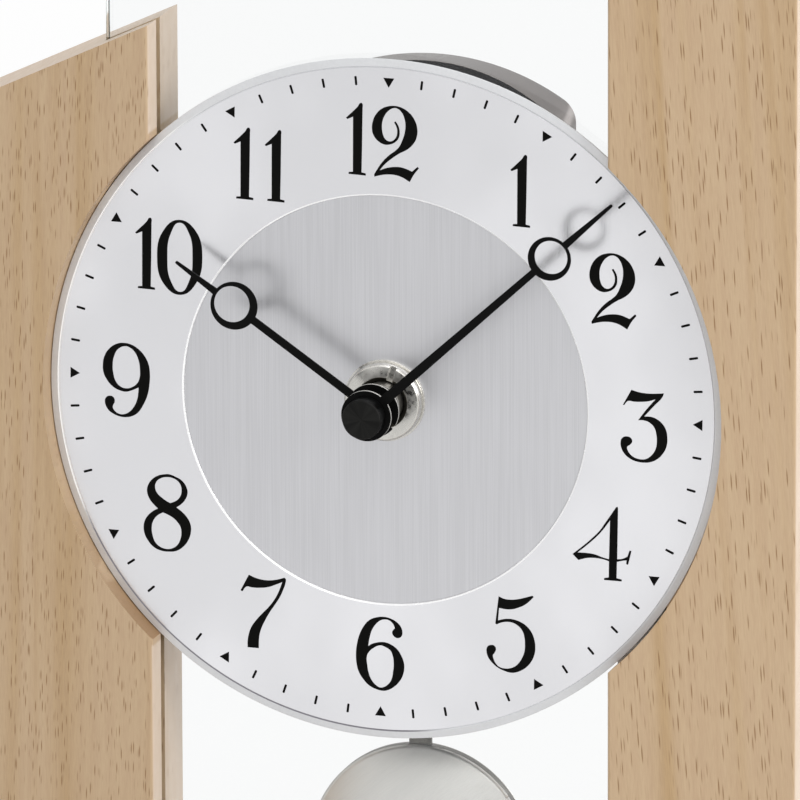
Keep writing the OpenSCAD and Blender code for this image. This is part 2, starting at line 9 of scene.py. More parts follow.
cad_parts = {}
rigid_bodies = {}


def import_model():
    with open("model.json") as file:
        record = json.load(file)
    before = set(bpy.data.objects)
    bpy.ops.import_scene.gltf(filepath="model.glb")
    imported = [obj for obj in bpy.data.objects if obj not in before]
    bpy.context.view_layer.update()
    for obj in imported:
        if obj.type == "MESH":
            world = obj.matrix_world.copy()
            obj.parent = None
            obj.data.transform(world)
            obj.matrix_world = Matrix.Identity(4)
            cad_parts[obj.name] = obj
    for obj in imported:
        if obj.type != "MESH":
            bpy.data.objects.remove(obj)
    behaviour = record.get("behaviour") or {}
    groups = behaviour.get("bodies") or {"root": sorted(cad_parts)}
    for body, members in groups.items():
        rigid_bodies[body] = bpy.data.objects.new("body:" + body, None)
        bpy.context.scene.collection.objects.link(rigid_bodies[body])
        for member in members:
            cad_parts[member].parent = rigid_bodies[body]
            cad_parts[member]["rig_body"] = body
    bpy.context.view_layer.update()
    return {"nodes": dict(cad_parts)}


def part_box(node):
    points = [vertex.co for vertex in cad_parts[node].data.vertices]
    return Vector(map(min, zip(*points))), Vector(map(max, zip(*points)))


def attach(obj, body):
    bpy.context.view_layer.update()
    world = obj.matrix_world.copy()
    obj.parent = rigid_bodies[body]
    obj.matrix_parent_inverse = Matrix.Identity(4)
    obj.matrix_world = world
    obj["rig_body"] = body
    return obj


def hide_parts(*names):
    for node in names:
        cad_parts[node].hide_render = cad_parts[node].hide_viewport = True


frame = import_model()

bl_info = {
    "name": "Pendulum table clock",
    "version": (1, 0, 0),
    "blender": (4, 5, 0),
    "location": "View3D > Sidebar > Clock",
    "description": "Gives the packed model of a pendulum table clock its finished shapes and materials",
    "category": "Object",
}

MM = 0.001
RING_LOW, RING_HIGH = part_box("dial_ring")
# The middle of the dial, on the front of its ring
DIAL = Vector(((RING_LOW.x + RING_HIGH.x) / 2, RING_LOW.y, (RING_LOW.z + RING_HIGH.z) / 2))
# Turns a drawing with x to the right and y up so that it stands on the dial and faces forwards
STAND_UP = Matrix.Rotation(math.radians(90), 4, "X")


def paint(red, green, blue):
    """The linear colour of a paint given by its 0 to 255 screen values."""
    values = (red, green, blue)
    return tuple(((v / 255 + 0.055) / 1.055) ** 2.4 if v > 10 else v / 255 / 12.92 for v in values)


# Sizes and colours


def length(name, description, millimetres):
    """A size that is given in millimetres and kept in metres."""
    metres = millimetres * MM
    return FloatProperty(name=name, description=description, default=metres, unit="LENGTH", precision=5)


def angle(name, description, degrees):
    """An angle that is given in degrees."""
    return FloatProperty(name=name, description=description, default=math.radians(degrees), subtype="ANGLE")


def colour(name, description, red, green, blue):
    """A colour that is given by its 0 to 255 screen values."""
    return FloatVectorProperty(
        name=name, description=description, default=paint(red, green, blue), subtype="COLOR", min=0, max=1
    )


def power(name, description, watts):
    """The power of a lamp."""
    return FloatProperty(name=name, description=description, default=watts, unit="POWER")


def number(name, description, value):
    """A plain number."""
    return FloatProperty(name=name, description=description, default=value)


class ClockSizes(bpy.types.PropertyGroup):
    """Sizes of the printed dial and of the rounded edges"""

    print_depth: length("Print depth", "How far the printed ink stands out of the dial", 0.03)
    print_turn: angle("Print turn", "How far the printed ring is turned clockwise", 0.97)
    print_rise: length("Print rise", "How far the middle of the print lies above the hand shaft", 0.4)
    print_swell: length("Print swell", "How far the ink of the numerals runs past their outlines", 0.04)
    minute_count: IntProperty(name="Minutes", description="Number of minute marks", default=60)
    tick_radius: length("Tick radius", "Distance of the minute ticks from the middle", 69.2)
    tick_length: length("Tick length", "Length of one minute tick", 2.0)
    tick_width: length("Tick width", "Width of one minute tick", 0.52)
    mark_radius: length("Hour mark size", "Distance from an hour triangle's middle to its corners", 1.4)
    wood_edge: length("Wood edge", "Rounding of the edges of the wood", 0.35)
    glass_edge: length("Glass edge", "Polished edge of the glass", 0.35)
    sheet_edge: length("Sheet edge", "Rounding of the edges of the hands", 0.06)
    nut_edge: length("Nut edge", "Rounding of the edges of the mounting nut", 0.3)
    case_edge: length("Case edge", "Rounding of the edges of the case and its cover", 0.5)
    # The dark hollow round the bush is painted shade in the mouth of the nut.
    nut_mouth_shade: length("Nut mouth", "Radius of the dark hollow round the bush", 5.6)
    ring_opening: length("Ring opening", "Radius of the opening of the ring", 44.6)
    ring_lip: length("Ring lip", "Width of the polished lip round the opening of the ring", 0.38)
    rim_width: length("Rim width", "Width of the sloping rim of the dial", 1.5)
    rim_drop: length("Rim drop", "How far the rim falls back at its outside", 0.25)
    groove_width: length("Groove width", "Width of the fine groove between the face and the rim", 0.35)
    groove_floor: length("Groove floor", "Distance of the groove's deepest line from the rim", 0.3)
    groove_drop: length("Groove drop", "Depth of the fine groove", 0.15)
    middle_hole: length("Middle hole", "Radius of the hole in the middle of the dial", 5)
    middle_edge: length("Middle edge", "Sloping edge of the middle of the dial", 0.05)


class ClockColours(bpy.types.PropertyGroup):
    """Colours of the finishes"""

    beech: colour("Beech", "Face of the wood", 203, 175, 142)
    beech_band: colour("Beech bands", "Darker bands of the wood", 188, 156, 114)
    # Lighter than the face: partly the look of the side grain and partly painted light on the sides and
    # tops.
    lit_beech_side: colour("Beech sides", "Sides of the wood, where the rays lie flat", 225, 206, 187)
    # Darker colour for the wall of the round cut where it faces up or down.
    beech_cut_darker: colour("Beech end grain", "Round cut where it runs across the grain", 158, 124, 88)
    beech_fleck: colour("Beech flecks", "Short dark flecks in the wood", 134, 101, 64)
    ring: colour("Dial ring", "Satin silver ring", 229, 229, 232)
    rim: colour("Dial rim", "Sloping rim of the dial", 211, 212, 214)
    # Near white, lighter than the ring: the lip's bright line is partly its polish and partly a painted
    # highlight.
    lip: colour("Dial lip", "Bright line round the middle of the dial", 250, 250, 250)
    middle: colour("Dial middle", "Brushed middle of the dial", 206, 206, 209)
    lacquer: colour("Lacquer", "Black of the hands", 10, 10, 10)
    ink: colour("Ink", "Black of the printed numerals", 10, 10, 9)
    nickel: colour("Nickel", "Bright metal of the nut and washer", 208, 206, 201)
    bob: colour("Bob", "Satin metal of the pendulum bob", 218, 216, 212)
    cover: colour("Cover", "Silver cover of the movement", 124, 119, 117)
    case: colour("Case", "Black case of the movement", 18, 18, 19)
    glass: colour("Glass", "Tint of the clear pane", 250, 251, 251)
    glass_rim: colour("Glass rim", "Tint of the pane's cut edges", 176, 190, 188)


class StageSizes(bpy.types.PropertyGroup):
    """Where the camera stands and how bright the lamps are"""

    azimuth: angle("Azimuth", "How far the camera stands to the right of the front", 16.25)
    elevation: angle("Elevation", "How far the camera stands above the dial", 14.08)
    roll: angle("Roll", "How far the camera is rolled", -0.211)
    distance: length("Distance", "From the camera to the dial", 3100)
    lens: FloatProperty(name="Lens", description="Focal length", default=656.7, unit="CAMERA")
    shift_across: number("Shift across", "Sideways shift of the lens, in picture widths", 0.01925)
    shift_up: number("Shift up", "Upward shift of the lens, in picture widths", -0.0016)
    key_power: power("Key lamp", "Power of the large lamp in front", 7)
    top_power: power("Top lamp", "Power of the lamp above", 6)
    side_power: power("Side lamp", "Power of the lamp at the right", 10)
    rear_power: power("Rear lamp", "Power of the lamp behind and to the right", 6.5)
    room_light: number("Room light", "Even light from all round", 0.6)
    seen_white: number("Seen white", "Brightness of the white surroundings", 1.0)


# Meshes

# Edges of a copied node that turn by more than this, in degrees, are sharp
SHARP = 35.0
# Faces that turn by less than this are one flat face
FLAT = math.radians(0.3)
# Straight sides of a turned piece
SIDES = 256


def add_piece(name, mesh, *materials):
    """Puts a mesh in the scene as a new piece with these materials."""
    piece = bpy.data.objects.new(name, mesh)
    bpy.context.scene.collection.objects.link(piece)
    mesh.materials.clear()
    for material in materials:
        mesh.materials.append(material)
    return piece


def settle(piece):
    """Turns a piece's modifiers into plain mesh."""
    graph = bpy.context.evaluated_depsgraph_get()
    finished = bpy.data.meshes.new_from_object(
        piece.evaluated_get(graph), preserve_all_data_layers=True, depsgraph=graph
    )
    raw = piece.data
    piece.modifiers.clear()
    piece.data = finished
    bpy.data.meshes.remove(raw)


def smooth(piece, crisp):
    """Shades a piece smoothly, apart from edges sharper than crisp, in degrees."""
    piece.data.shade_smooth()
    piece.data.set_sharp_from_angle(angle=math.radians(crisp))
    weights = piece.modifiers.new("flat faces stay flat", "WEIGHTED_NORMAL")
    weights.weight = 100
    weights.keep_sharp = True
    settle(piece)


def copy_node(node, name, *materials, edge=0.0, steps=3):
    """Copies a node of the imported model, rounds its sharp edges by edge and stands in for it."""
    mesh = bpy.data.meshes.new(name)
    work = bmesh.new()
    work.from_mesh(frame["nodes"][node].data)
    bmesh.ops.remove_doubles(work, verts=work.verts, dist=0.001 * MM)
    bmesh.ops.dissolve_limit(work, angle_limit=FLAT, verts=work.verts, edges=work.edges)
    work.to_mesh(mesh)
    work.free()
    piece = add_piece(name, mesh, *materials)
    if edge > 0:
        bevel = piece.modifiers.new("edges", "BEVEL")
        bevel.width = edge
        bevel.segments = steps
        bevel.limit_method = "ANGLE"
        bevel.angle_limit = math.radians(SHARP)
        bevel.use_clamp_overlap = True
        settle(piece)
    smooth(piece, SHARP)
    mount(piece, node)
    return piece


def mount(piece, node):
    """Makes a piece ride on a node's body and stand in for it."""
    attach(piece, frame["nodes"][node]["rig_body"])
    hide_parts(node)


def turned(name, profile, centre, *materials):
    """Turns a closed profile of (radius, depth) corners round the axis that runs back through centre.
    Its brush map lies flat on the front and tells the brushed finish which way is up."""
    work = bmesh.new()
    turns = [math.tau * i / SIDES for i in range(SIDES)]
    rings = []
    for radius, depth in profile:
        spots = [Vector((radius * math.cos(turn), depth, radius * math.sin(turn))) for turn in turns]
        rings.append([work.verts.new(centre + spot) for spot in spots])
    for ring, following in zip(rings, rings[1:] + rings[:1]):
        for i in range(SIDES):
            j = (i + 1) % SIDES
            work.faces.new((ring[i], ring[j], following[j], following[i]))
    bmesh.ops.recalc_face_normals(work, faces=work.faces)
    brush = work.loops.layers.uv.new("brush")
    map_wide, map_high = 0.2, 0.4
    for face in work.faces:
        for loop in face.loops:
            loop[brush].uv = (loop.vert.co.x / map_wide + 0.5, loop.vert.co.z / map_high)
    mesh = bpy.data.meshes.new(name)
    work.to_mesh(mesh)
    work.free()
    return add_piece(name, mesh, *materials)


# Materials

# The finished materials by name
FINISHES = {}
# Wood faces nearer to the hand shaft than this lie in the round cut of a column
CUT_REACH = 75.9 * MM


def new_node(tree, kind, inputs, settings):
    """Adds a node to a tree, links the inputs that are sockets and sets the others."""
    node = tree.nodes.new(kind)
    for key, value in settings.items():
        setattr(node, key, value)
    for key, value in inputs.items():
        if isinstance(value, bpy.types.NodeSocket):
            tree.links.new(value, node.inputs[key])
        else:
            node.inputs[key].default_value = value
    return node


def add_node(material, kind, inputs=None, **settings):
    """Adds a node to a material."""
    return new_node(material.node_tree, kind, inputs or {}, settings)


def link(material, socket, shader, name):
    """Links a socket to one of a shader's inputs."""
    material.node_tree.links.new(socket, shader.inputs[name])


def start(name, colour, roughness, metallic=0.0, specular=0.5):
    """A new material and its shader."""
    material = bpy.data.materials.new(name)
    material.use_nodes = True
    shader = material.node_tree.nodes["Principled BSDF"]
    shader.inputs["Base Color"].default_value = (*colour, 1)
    shader.inputs["Roughness"].default_value = roughness
    shader.inputs["Metallic"].default_value = metallic
    shader.inputs["Specular IOR Level"].default_value = specular
    FINISHES[name] = material
    return material, shader


def placed(material, grain, turn=(0, 0, 0)):
    """Object coordinates, turned and counted in grains of the given millimetres along x, y and z."""
    place = add_node(material, "ShaderNodeTexCoord")
    scale = tuple(size * MM for size in grain)
    inputs = {"Vector": place.outputs["Object"], "Rotation": turn, "Scale": scale}
    return add_node(material, "ShaderNodeMapping", inputs, vector_type="TEXTURE").outputs["Vector"]


def noise(material, grain, turn=(0, 0, 0), detail=3.0, warp=0.0):
    """Noise with grains of the given millimetres."""
    inputs = {"Vector": placed(material, grain, turn), "Scale": 1.0, "Detail": detail, "Distortion": warp}
    return add_node(material, "ShaderNodeTexNoise", inputs).outputs["Fac"]


def spread(material, value, low, high, to_low=0.0, to_high=1.0, kind="SMOOTHSTEP"):
    """Maps the stretch from low to high of a value to another stretch."""
    inputs = {"Value": value, "From Min": low, "From Max": high, "To Min": to_low, "To Max": to_high}
    return add_node(material, "ShaderNodeMapRange", inputs, interpolation_type=kind).outputs["Result"]


def maths(material, operation, first, second=0.0):
    """One sum, product or other operation."""
    return add_node(material, "ShaderNodeMath", {0: first, 1: second}, operation=operation).outputs[0]


def mixed(material, share, first, second, blend="MIX"):
    """Mixes two colours."""
    first = first if isinstance(first, bpy.types.NodeSocket) else (*first, 1)
    second = second if isinstance(second, bpy.types.NodeSocket) else (*second, 1)
    inputs = {0: share, 6: first, 7: second}
    return add_node(material, "ShaderNodeMix", inputs, data_type="RGBA", blend_type=blend).outputs[2]


def shades(colour, amount):
    """A darker and a lighter shade of a colour."""
    return tuple(v * (1 - amount) for v in colour), tuple(min(1, v * (1 + amount)) for v in colour)


def relief(material, shader, height, depth):
    """Raises a surface by height times depth, in millimetres."""
    bump = add_node(material, "ShaderNodeBump", {"Height": height, "Distance": depth * MM, "Strength": 1.0})
    link(material, bump.outputs["Normal"], shader, "Normal")


def split(material, vector):
    """The x, y and z of a vector."""
    return add_node(material, "ShaderNodeSeparateXYZ", {"Vector": vector}).outputs


def facing(material, place, axis):
    """One where the surface faces along an axis, and nought where the axis lies in the surface."""
    return maths(material, "ABSOLUTE", split(material, place.outputs["Normal"])[axis])


def from_dial(material, place):
    """The place measured from the middle of the dial, read from texture coordinates."""
    inputs = {0: place.outputs["Object"], 1: DIAL}
    return add_node(material, "ShaderNodeVectorMath", inputs, operation="SUBTRACT").outputs[0]


def from_shaft(material, place):
    """The distance from the axis of the hands, read from texture coordinates."""
    inputs = {0: from_dial(material, place), 1: (1, 0, 1)}
    flat = add_node(material, "ShaderNodeVectorMath", inputs, operation="MULTIPLY").outputs[0]
    return add_node(material, "ShaderNodeVectorMath", {0: flat}, operation="LENGTH").outputs["Value"]


def grained(name, colour, roughness, metallic=0.0, grain=(0.5, 0.5, 0.5), turn=(0, 0, 0), tone=0.05,
            wear=0.06, depth=0.01, specular=0.5, ior=1.5):
    """A finish whose tone, roughness and relief follow one grain, with sizes in millimetres."""
    material, shader = start(name, colour, roughness, metallic, specular)
    shader.inputs["IOR"].default_value = ior
    fine = noise(material, grain, turn)
    cloud = noise(material, tuple(size * 14 for size in grain), turn, detail=1.0)
    darker, lighter = shades(colour, tone)
    both = maths(material, "MULTIPLY", cloud, 0.4)
    both = maths(material, "ADD", both, maths(material, "MULTIPLY", fine, 0.6))
    tones = mixed(material, spread(material, both, 0.3, 0.7), darker, lighter)
    link(material, tones, shader, "Base Color")
    rough = spread(material, both, 0.3, 0.7, max(0.02, roughness - wear), roughness + wear)
    link(material, rough, shader, "Roughness")
    relief(material, shader, fine, depth)


def make_beech(name, fleck, lean, rare, colours, shade):
    """Steamed beech with upright grain. The flecks are cells of the given width, depth and height,
    and from rare on, as a share of all, they show at full strength."""
    material, shader = start(name, colours.beech, 0.5, specular=0.3)
    turn = (0, math.radians(lean), 0)
    inputs = {"Vector": placed(material, fleck, turn), "Scale": 1.0, "Randomness": 1.0}
    cells = add_node(material, "ShaderNodeTexVoronoi", inputs).outputs
    lens = spread(material, cells["Distance"], 0.36, 0.12)
    parts = add_node(material, "ShaderNodeSeparateColor", {"Color": cells["Color"]}).outputs
    lens = maths(material, "MULTIPLY", lens, spread(material, parts["Red"], rare - 0.5, rare, 0.1, 1.0))
    pores = noise(material, (0.2, 2.5, 3.2), turn, detail=2.0, warp=0.4)
    streaks = noise(material, (1.3, 8, 34), turn, detail=4.0, warp=0.5)
    bands = noise(material, (8, 20, 320), turn, detail=2.0, warp=0.4)
    wood = mixed(material, spread(material, bands, 0.46, 0.8), colours.beech, colours.beech_band)
    for grain, contrast in ((streaks, 0.04), (pores, 0.045)):
        tones = mixed(material, spread(material, grain, 0.3, 0.7), *shades((0.5, 0.5, 0.5), contrast))
        wood = mixed(material, 1.0, wood, tones, "OVERLAY")
    place = add_node(material, "ShaderNodeTexCoord")
    # Sides and tops take the lighter colour, partly for their side grain and partly as painted light.
    side = mixed(material, spread(material, streaks, 0.3, 0.7, 0.0, 0.3), colours.lit_beech_side, colours.beech)
    # Inside the round cut the wall turns darker where it faces up or down.
    in_cut = spread(material, from_shaft(material, place), CUT_REACH, CUT_REACH - 0.6 * MM)
    across = spread(material, facing(material, place, "Z"), 0.3, 0.8)
    side = mixed(material, in_cut, side, mixed(material, across, wood, colours.beech_cut_darker))
    face = spread(material, facing(material, place, "Y"), 0.45, 0.9)
    wood = mixed(material, face, side, wood)
    shown = maths(material, "MULTIPLY", lens, spread(material, face, 0.0, 1.0, 0.12, 0.85, "LINEAR"))
    wood = mixed(material, 1.0, wood, (shade, shade, shade), "MULTIPLY")
    link(material, mixed(material, shown, wood, colours.beech_fleck), shader, "Base Color")
    link(material, spread(material, pores, 0.3, 0.7, 0.44, 0.56), shader, "Roughness")
    height = maths(material, "MULTIPLY", pores, 0.4)
    height = maths(material, "SUBTRACT", height, maths(material, "MULTIPLY", lens, 0.6))
    relief(material, shader, height, 0.03)


def make_glass(name, colour, roughness, waves):
    """Clear glass that lets the light of the room and the lamps through, with very slight waves."""
    material, shader = start(name, colour, roughness)
    shader.inputs["Transmission Weight"].default_value = 1.0
    shader.inputs["IOR"].default_value = 1.5
    relief(material, shader, noise(material, (30, 30, 30), detail=1.0), waves)
    clear = add_node(material, "ShaderNodeBsdfTransparent", {"Color": (*colour, 1)})
    path = add_node(material, "ShaderNodeLightPath").outputs
    passing = maths(material, "MAXIMUM", path["Is Shadow Ray"], path["Is Diffuse Ray"])
    inputs = {0: passing, 1: shader.outputs["BSDF"], 2: clear.outputs["BSDF"]}
    mix = add_node(material, "ShaderNodeMixShader", inputs)
    link(material, mix.outputs[0], material.node_tree.nodes["Material Output"], "Surface")


def make_brushed(name, colour, roughness, metallic, tone):
    """Flat sheet brushed straight up and down."""
    material, shader = start(name, colour, roughness, metallic)
    lines = noise(material, (0.16, 5, 26), detail=3.0)
    cloud = noise(material, (9, 9, 30), detail=2.0)
    darker, lighter = shades(colour, tone)
    both = maths(material, "MULTIPLY", lines, 0.75)
    both = maths(material, "ADD", both, maths(material, "MULTIPLY", cloud, 0.25))
    tones = mixed(material, spread(material, both, 0.32, 0.68), darker, lighter)
    link(material, tones, shader, "Base Color")
    rough = spread(material, lines, 0.3, 0.7, roughness - 0.04, roughness + 0.04)
    link(material, rough, shader, "Roughness")
    relief(material, shader, lines, 0.0015)
    shader.inputs["Anisotropic"].default_value = 0.5
    tangent = add_node(material, "ShaderNodeTangent", direction_type="UV_MAP", uv_map="brush")
    link(material, tangent.outputs["Tangent"], shader, "Tangent")


def make_ring(name, colour):
    """Polished silver print, with fine scratches too small to see one by one."""
    material, shader = start(name, colour, 0.19, 0.75)
    haze = noise(material, (34, 34, 44), detail=2.0)
    fine = noise(material, (0.3, 2, 6), detail=2.0)
    darker, lighter = shades(colour, 0.05)
    tones = mixed(material, spread(material, haze, 0.35, 0.65), lighter, darker)
    link(material, tones, shader, "Base Color")
    link(material, spread(material, fine, 0.3, 0.7, 0.17, 0.21), shader, "Roughness")
    relief(material, shader, fine, 0.0004)


def make_groove(name, colour, highlight_colour, low):
    """The fine groove of the dial, with a painted highlight on the left and painted shade, also rougher, at
    its lower left.
    """
    material, shader = start(name, colour, 0.4, 0.2)
    parts = split(material, from_dial(material, add_node(material, "ShaderNodeTexCoord")))
    fine = noise(material, (2, 2, 2))
    height = maths(material, "ADD", parts["Z"], maths(material, "MULTIPLY", fine, 6 * MM))
    # Painted highlight: the groove turns near white towards the left.
    painted_highlight = mixed(material, spread(material, parts["X"], -52 * MM, -38 * MM), highlight_colour, colour)
    # Painted shade: the groove turns dark grey at its lower left.
    below = spread(material, height, -21 * MM, -31 * MM)
    painted_shade = maths(material, "MULTIPLY", below, spread(material, parts["X"], 14 * MM, 4 * MM))
    unshaded = maths(material, "SUBTRACT", 1.0, painted_shade)
    link(material, mixed(material, unshaded, low, painted_highlight), shader, "Base Color")
    link(material, spread(material, unshaded, 0.0, 1.0, 0.6, 0.4), shader, "Roughness")
    relief(material, shader, fine, 0.001)


def make_lacquer(name, colour, rim, disc):
    """Satin black lacquer on punched sheet. The cut edge of the disc at the hub is bare."""
    material, shader = start(name, colour, 0.42, specular=0.06)
    fine = noise(material, (0.12, 0.12, 0.12))
    link(material, spread(material, fine, 0.3, 0.7, 0.38, 0.48), shader, "Roughness")
    place = add_node(material, "ShaderNodeTexCoord")
    reach = from_shaft(material, place)
    near = spread(material, reach, disc - 0.18 * MM, disc - 0.08 * MM)
    near = maths(material, "MULTIPLY", near, spread(material, reach, disc + 0.06 * MM, disc + 0.03 * MM))
    cut = spread(material, facing(material, place, "Y"), 0.85, 0.5)
    bare = maths(material, "MULTIPLY", near, cut)
    link(material, mixed(material, bare, colour, rim), shader, "Base Color")
    link(material, bare, shader, "Metallic")
    relief(material, shader, fine, 0.002)


def make_cap(name, colour, side_colour):
    """The turned face of the cap that holds the hands, and its darker side."""
    material, shader = start(name, colour, 0.4, specular=0.08)
    place = add_node(material, "ShaderNodeTexCoord")
    parts = split(material, from_dial(material, place))
    turn = maths(material, "ARCTAN2", parts["Z"], parts["X"])
    inputs = {"W": turn, "Scale": 1.6, "Detail": 2.0}
    rays = add_node(material, "ShaderNodeTexNoise", inputs, noise_dimensions="1D").outputs["Fac"]
    darker, lighter = shades(colour, 0.35)
    face = mixed(material, spread(material, rays, 0.3, 0.7), darker, lighter)
    side = spread(material, facing(material, place, "Y"), 0.7, 0.5)
    link(material, mixed(material, side, face, side_colour), shader, "Base Color")
    link(material, spread(material, rays, 0.3, 0.7, 0.32, 0.5), shader, "Roughness")
    relief(material, shader, rays, 0.01)


def make_wire(name):
    """Lacquered copper wire wound in close turns."""
    material, shader = start(name, paint(190, 110, 60), 0.3, 1.0)
    inputs = {"Vector": placed(material, (0.16, 0.16, 0.16)), "Scale": 0.5, "Distortion": 0.4}
    turns = add_node(material, "ShaderNodeTexWave", inputs, bands_direction="Z").outputs["Fac"]
    link(material, mixed(material, turns, paint(128, 62, 28), paint(214, 134, 80)), shader, "Base Color")
    link(material, spread(material, turns, 0.0, 1.0, 0.45, 0.25), shader, "Roughness")
    relief(material, shader, turns, 0.05)


def make_board(name):
    """Green solder mask over straight copper tracks."""
    material, shader = start(name, paint(24, 92, 52), 0.35)
    inputs = {"Vector": placed(material, (2.2, 2.2, 2.2)), "Scale": 1.0, "Randomness": 0.6}
    cells = add_node(
        material, "ShaderNodeTexVoronoi", inputs, distance="CHEBYCHEV", feature="DISTANCE_TO_EDGE"
    )
    track = spread(material, cells.outputs["Distance"], 0.10, 0.06)
    link(material, mixed(material, track, paint(18, 78, 44), paint(52, 128, 70)), shader, "Base Color")
    link(material, spread(material, track, 0.0, 1.0, 0.42, 0.3), shader, "Roughness")
    relief(material, shader, track, 0.04)


def make_sleeve(name):
    """Printed sleeve of a round cell: a copper coloured end and a dark grey body."""
    material, shader = start(name, paint(70, 72, 76), 0.3)
    place = add_node(material, "ShaderNodeTexCoord")
    along = split(material, place.outputs["Object"])["X"]
    end = spread(material, along, 11 * MM, 11.4 * MM)
    metal = maths(material, "GREATER_THAN", maths(material, "ABSOLUTE", along), 24.3 * MM)
    film = mixed(material, end, paint(58, 60, 64), paint(186, 120, 66))
    film = mixed(material, metal, film, paint(196, 196, 192))
    fine = noise(material, (0.8, 0.8, 0.8))
    film = mixed(material, 0.2, film, mixed(material, fine, (0.3, 0.3, 0.3), (0.7, 0.7, 0.7)), "OVERLAY")
    link(material, film, shader, "Base Color")
    link(material, spread(material, fine, 0.3, 0.7, 0.24, 0.36), shader, "Roughness")
    link(material, metal, shader, "Metallic")
    relief(material, shader, fine, 0.01)


def make_felt(name):
    """Grey felt with short crossed fibres."""
    material, shader = start(name, paint(96, 92, 88), 0.95)
    shader.inputs["Sheen Weight"].default_value = 0.4
    first = noise(material, (0.12, 1.2, 0.5), (0, 0, 0.6), detail=4.0)
    second = noise(material, (1.2, 0.12, 0.5), (0, 0, 0.4), detail=4.0)
    fibres = maths(material, "MAXIMUM", first, second)
    tone = mixed(material, spread(material, fibres, 0.4, 0.75), paint(74, 70, 66), paint(124, 120, 114))
    link(material, tone, shader, "Base Color")
    link(material, spread(material, fibres, 0.4, 0.75, 1.0, 0.85), shader, "Roughness")
    relief(material, shader, fibres, 0.12)


class CLOCK_OT_finishes(bpy.types.Operator):
    """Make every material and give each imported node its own"""

    bl_idname = "clock.finishes"
    bl_label = "Finishes"

    def execute(self, context):
        colours = context.scene.clock_colours
        make_beech("beech", (0.56, 5.0, 7.5), -4.0, 0.62, colours, 0.885)
        make_beech("beech_left", (0.46, 4.0, 5.0), 1.0, 0.6, colours, 0.845)
        make_glass("glass", colours.glass, 0.0, 0.0004)
        make_glass("glass_rim", colours.glass_rim, 0.12, 0.001)
        make_ring("satin_aluminium", colours.ring)
        grained("dial_rim", colours.rim, 0.4, 0.2, (0.6, 0.6, 0.6), tone=0.03, depth=0.002)
        # The near white is the groove's painted highlight and the dark grey its painted shade.
        make_groove("dial_groove", colours.rim, paint(250, 250, 250), paint(128, 126, 132))
        # The lip's near-white colour is partly a painted highlight.
        grained("dial_lip", colours.lip, 0.25, 0.3, (2.0, 2.0, 2.0), tone=0.03, depth=0.001)
        make_brushed("brushed_aluminium", colours.middle, 0.34, 0.9, 0.05)
        make_lacquer("black_lacquer", colours.lacquer, colours.nickel, 5.5 * MM)
        make_lacquer("hour_lacquer", colours.lacquer, colours.nickel, 5.8 * MM)
        make_cap("cap_lacquer", paint(25, 25, 24), paint(7, 7, 7))
        grained("ink", colours.ink, 0.55, grain=(0.15, 0.15, 0.15), depth=0.002, specular=0.05)
        grained("nickel", colours.nickel, 0.26, 1.0, (0.7, 0.4, 0.9), tone=0.12, wear=0.1, depth=0.004)
        grained("bush_steel", paint(150, 148, 144), 0.4, 1.0, (0.5, 0.5, 0.5), tone=0.04, depth=0.002)
        brushing = (0, 0.85, 0)
        grained("satin_nickel", colours.bob, 0.42, 1.0, (0.2, 0.6, 6.0), brushing, wear=0.05, depth=0.002)
        # A darker copy of the bob's satin metal for its edge: painted shade.
        grained("bob_edge", paint(104, 102, 98), 0.4, 1.0, (0.12, 0.4, 3.5), tone=0.08)
        # Dark steel of the rod, also used as painted shade in the mouth of the nut.
        grained("dark_steel", paint(88, 86, 80), 0.4, 1.0, (0.1, 0.3, 8.0), tone=0.12)
        grained("zinc_steel", paint(186, 188, 190), 0.34, 1.0, (0.5, 0.5, 0.5), tone=0.10)
        grained("brass", paint(200, 164, 92), 0.3, 1.0, (0.2, 0.2, 3.0), tone=0.10)
        grained(
            "silver_plastic", colours.cover, 0.36, 0.85, (0.8, 0.8, 0.8), tone=0.08, wear=0.05, depth=0.004
        )
        grained(
            "black_plastic", colours.case, 0.6, grain=(0.25, 0.25, 0.25), tone=0.12, depth=0.015, ior=1.03
        )
        grained("white_plastic", paint(226, 224, 216), 0.4, grain=(0.6, 0.6, 0.6), tone=0.03, depth=0.004)
        grained("grey_plastic", paint(112, 114, 118), 0.45, grain=(0.3, 0.3, 0.3), tone=0.06)
        grained("black_rubber", paint(30, 30, 30), 0.75, grain=(0.3, 0.3, 0.3), tone=0.15, depth=0.02)
        grained("ferrite", paint(52, 50, 52), 0.6, 0.2, (0.15, 0.15, 0.15), tone=0.2, depth=0.02)
        make_wire("copper_wire")
        make_board("circuit_board")
        make_sleeve("battery_sleeve")
        make_felt("felt")
        for node in frame["nodes"].values():
            for slot in node.material_slots:
                slot.material = FINISHES[slot.material.name.split(".")[0]] if slot.material else None
        return {"FINISHED"}


# Pieces


class CLOCK_OT_woodwork(bpy.types.Operator):
    """Round the edges of both columns and the base"""

    bl_idname = "clock.woodwork"
    bl_label = "Woodwork"

    def execute(self, context):
        edge = context.scene.clock_sizes.wood_edge
        copy_node("left_column", "left_beech_column", FINISHES["beech_left"], edge=edge)
        copy_node("right_column", "right_beech_column", FINISHES["beech"], edge=edge)
        copy_node("base_plate", "beech_base", FINISHES["beech_left"], edge=2 * edge)
        return {"FINISHED"}


class CLOCK_OT_pane(bpy.types.Operator):
    """Polish the edges of the glass pane"""

    bl_idname = "clock.pane"
    bl_label = "Glass pane"

    def execute(self, context):
        edge = context.scene.clock_sizes.glass_edge
        finishes = FINISHES["glass"], FINISHES["glass_rim"]
        pane = copy_node("glass_pane", "clear_pane", *finishes, edge=edge, steps=2)
        for face in pane.data.polygons:
            face.material_index = 0 if abs(face.normal.y) > 0.99 else 1
        return {"FINISHED"}


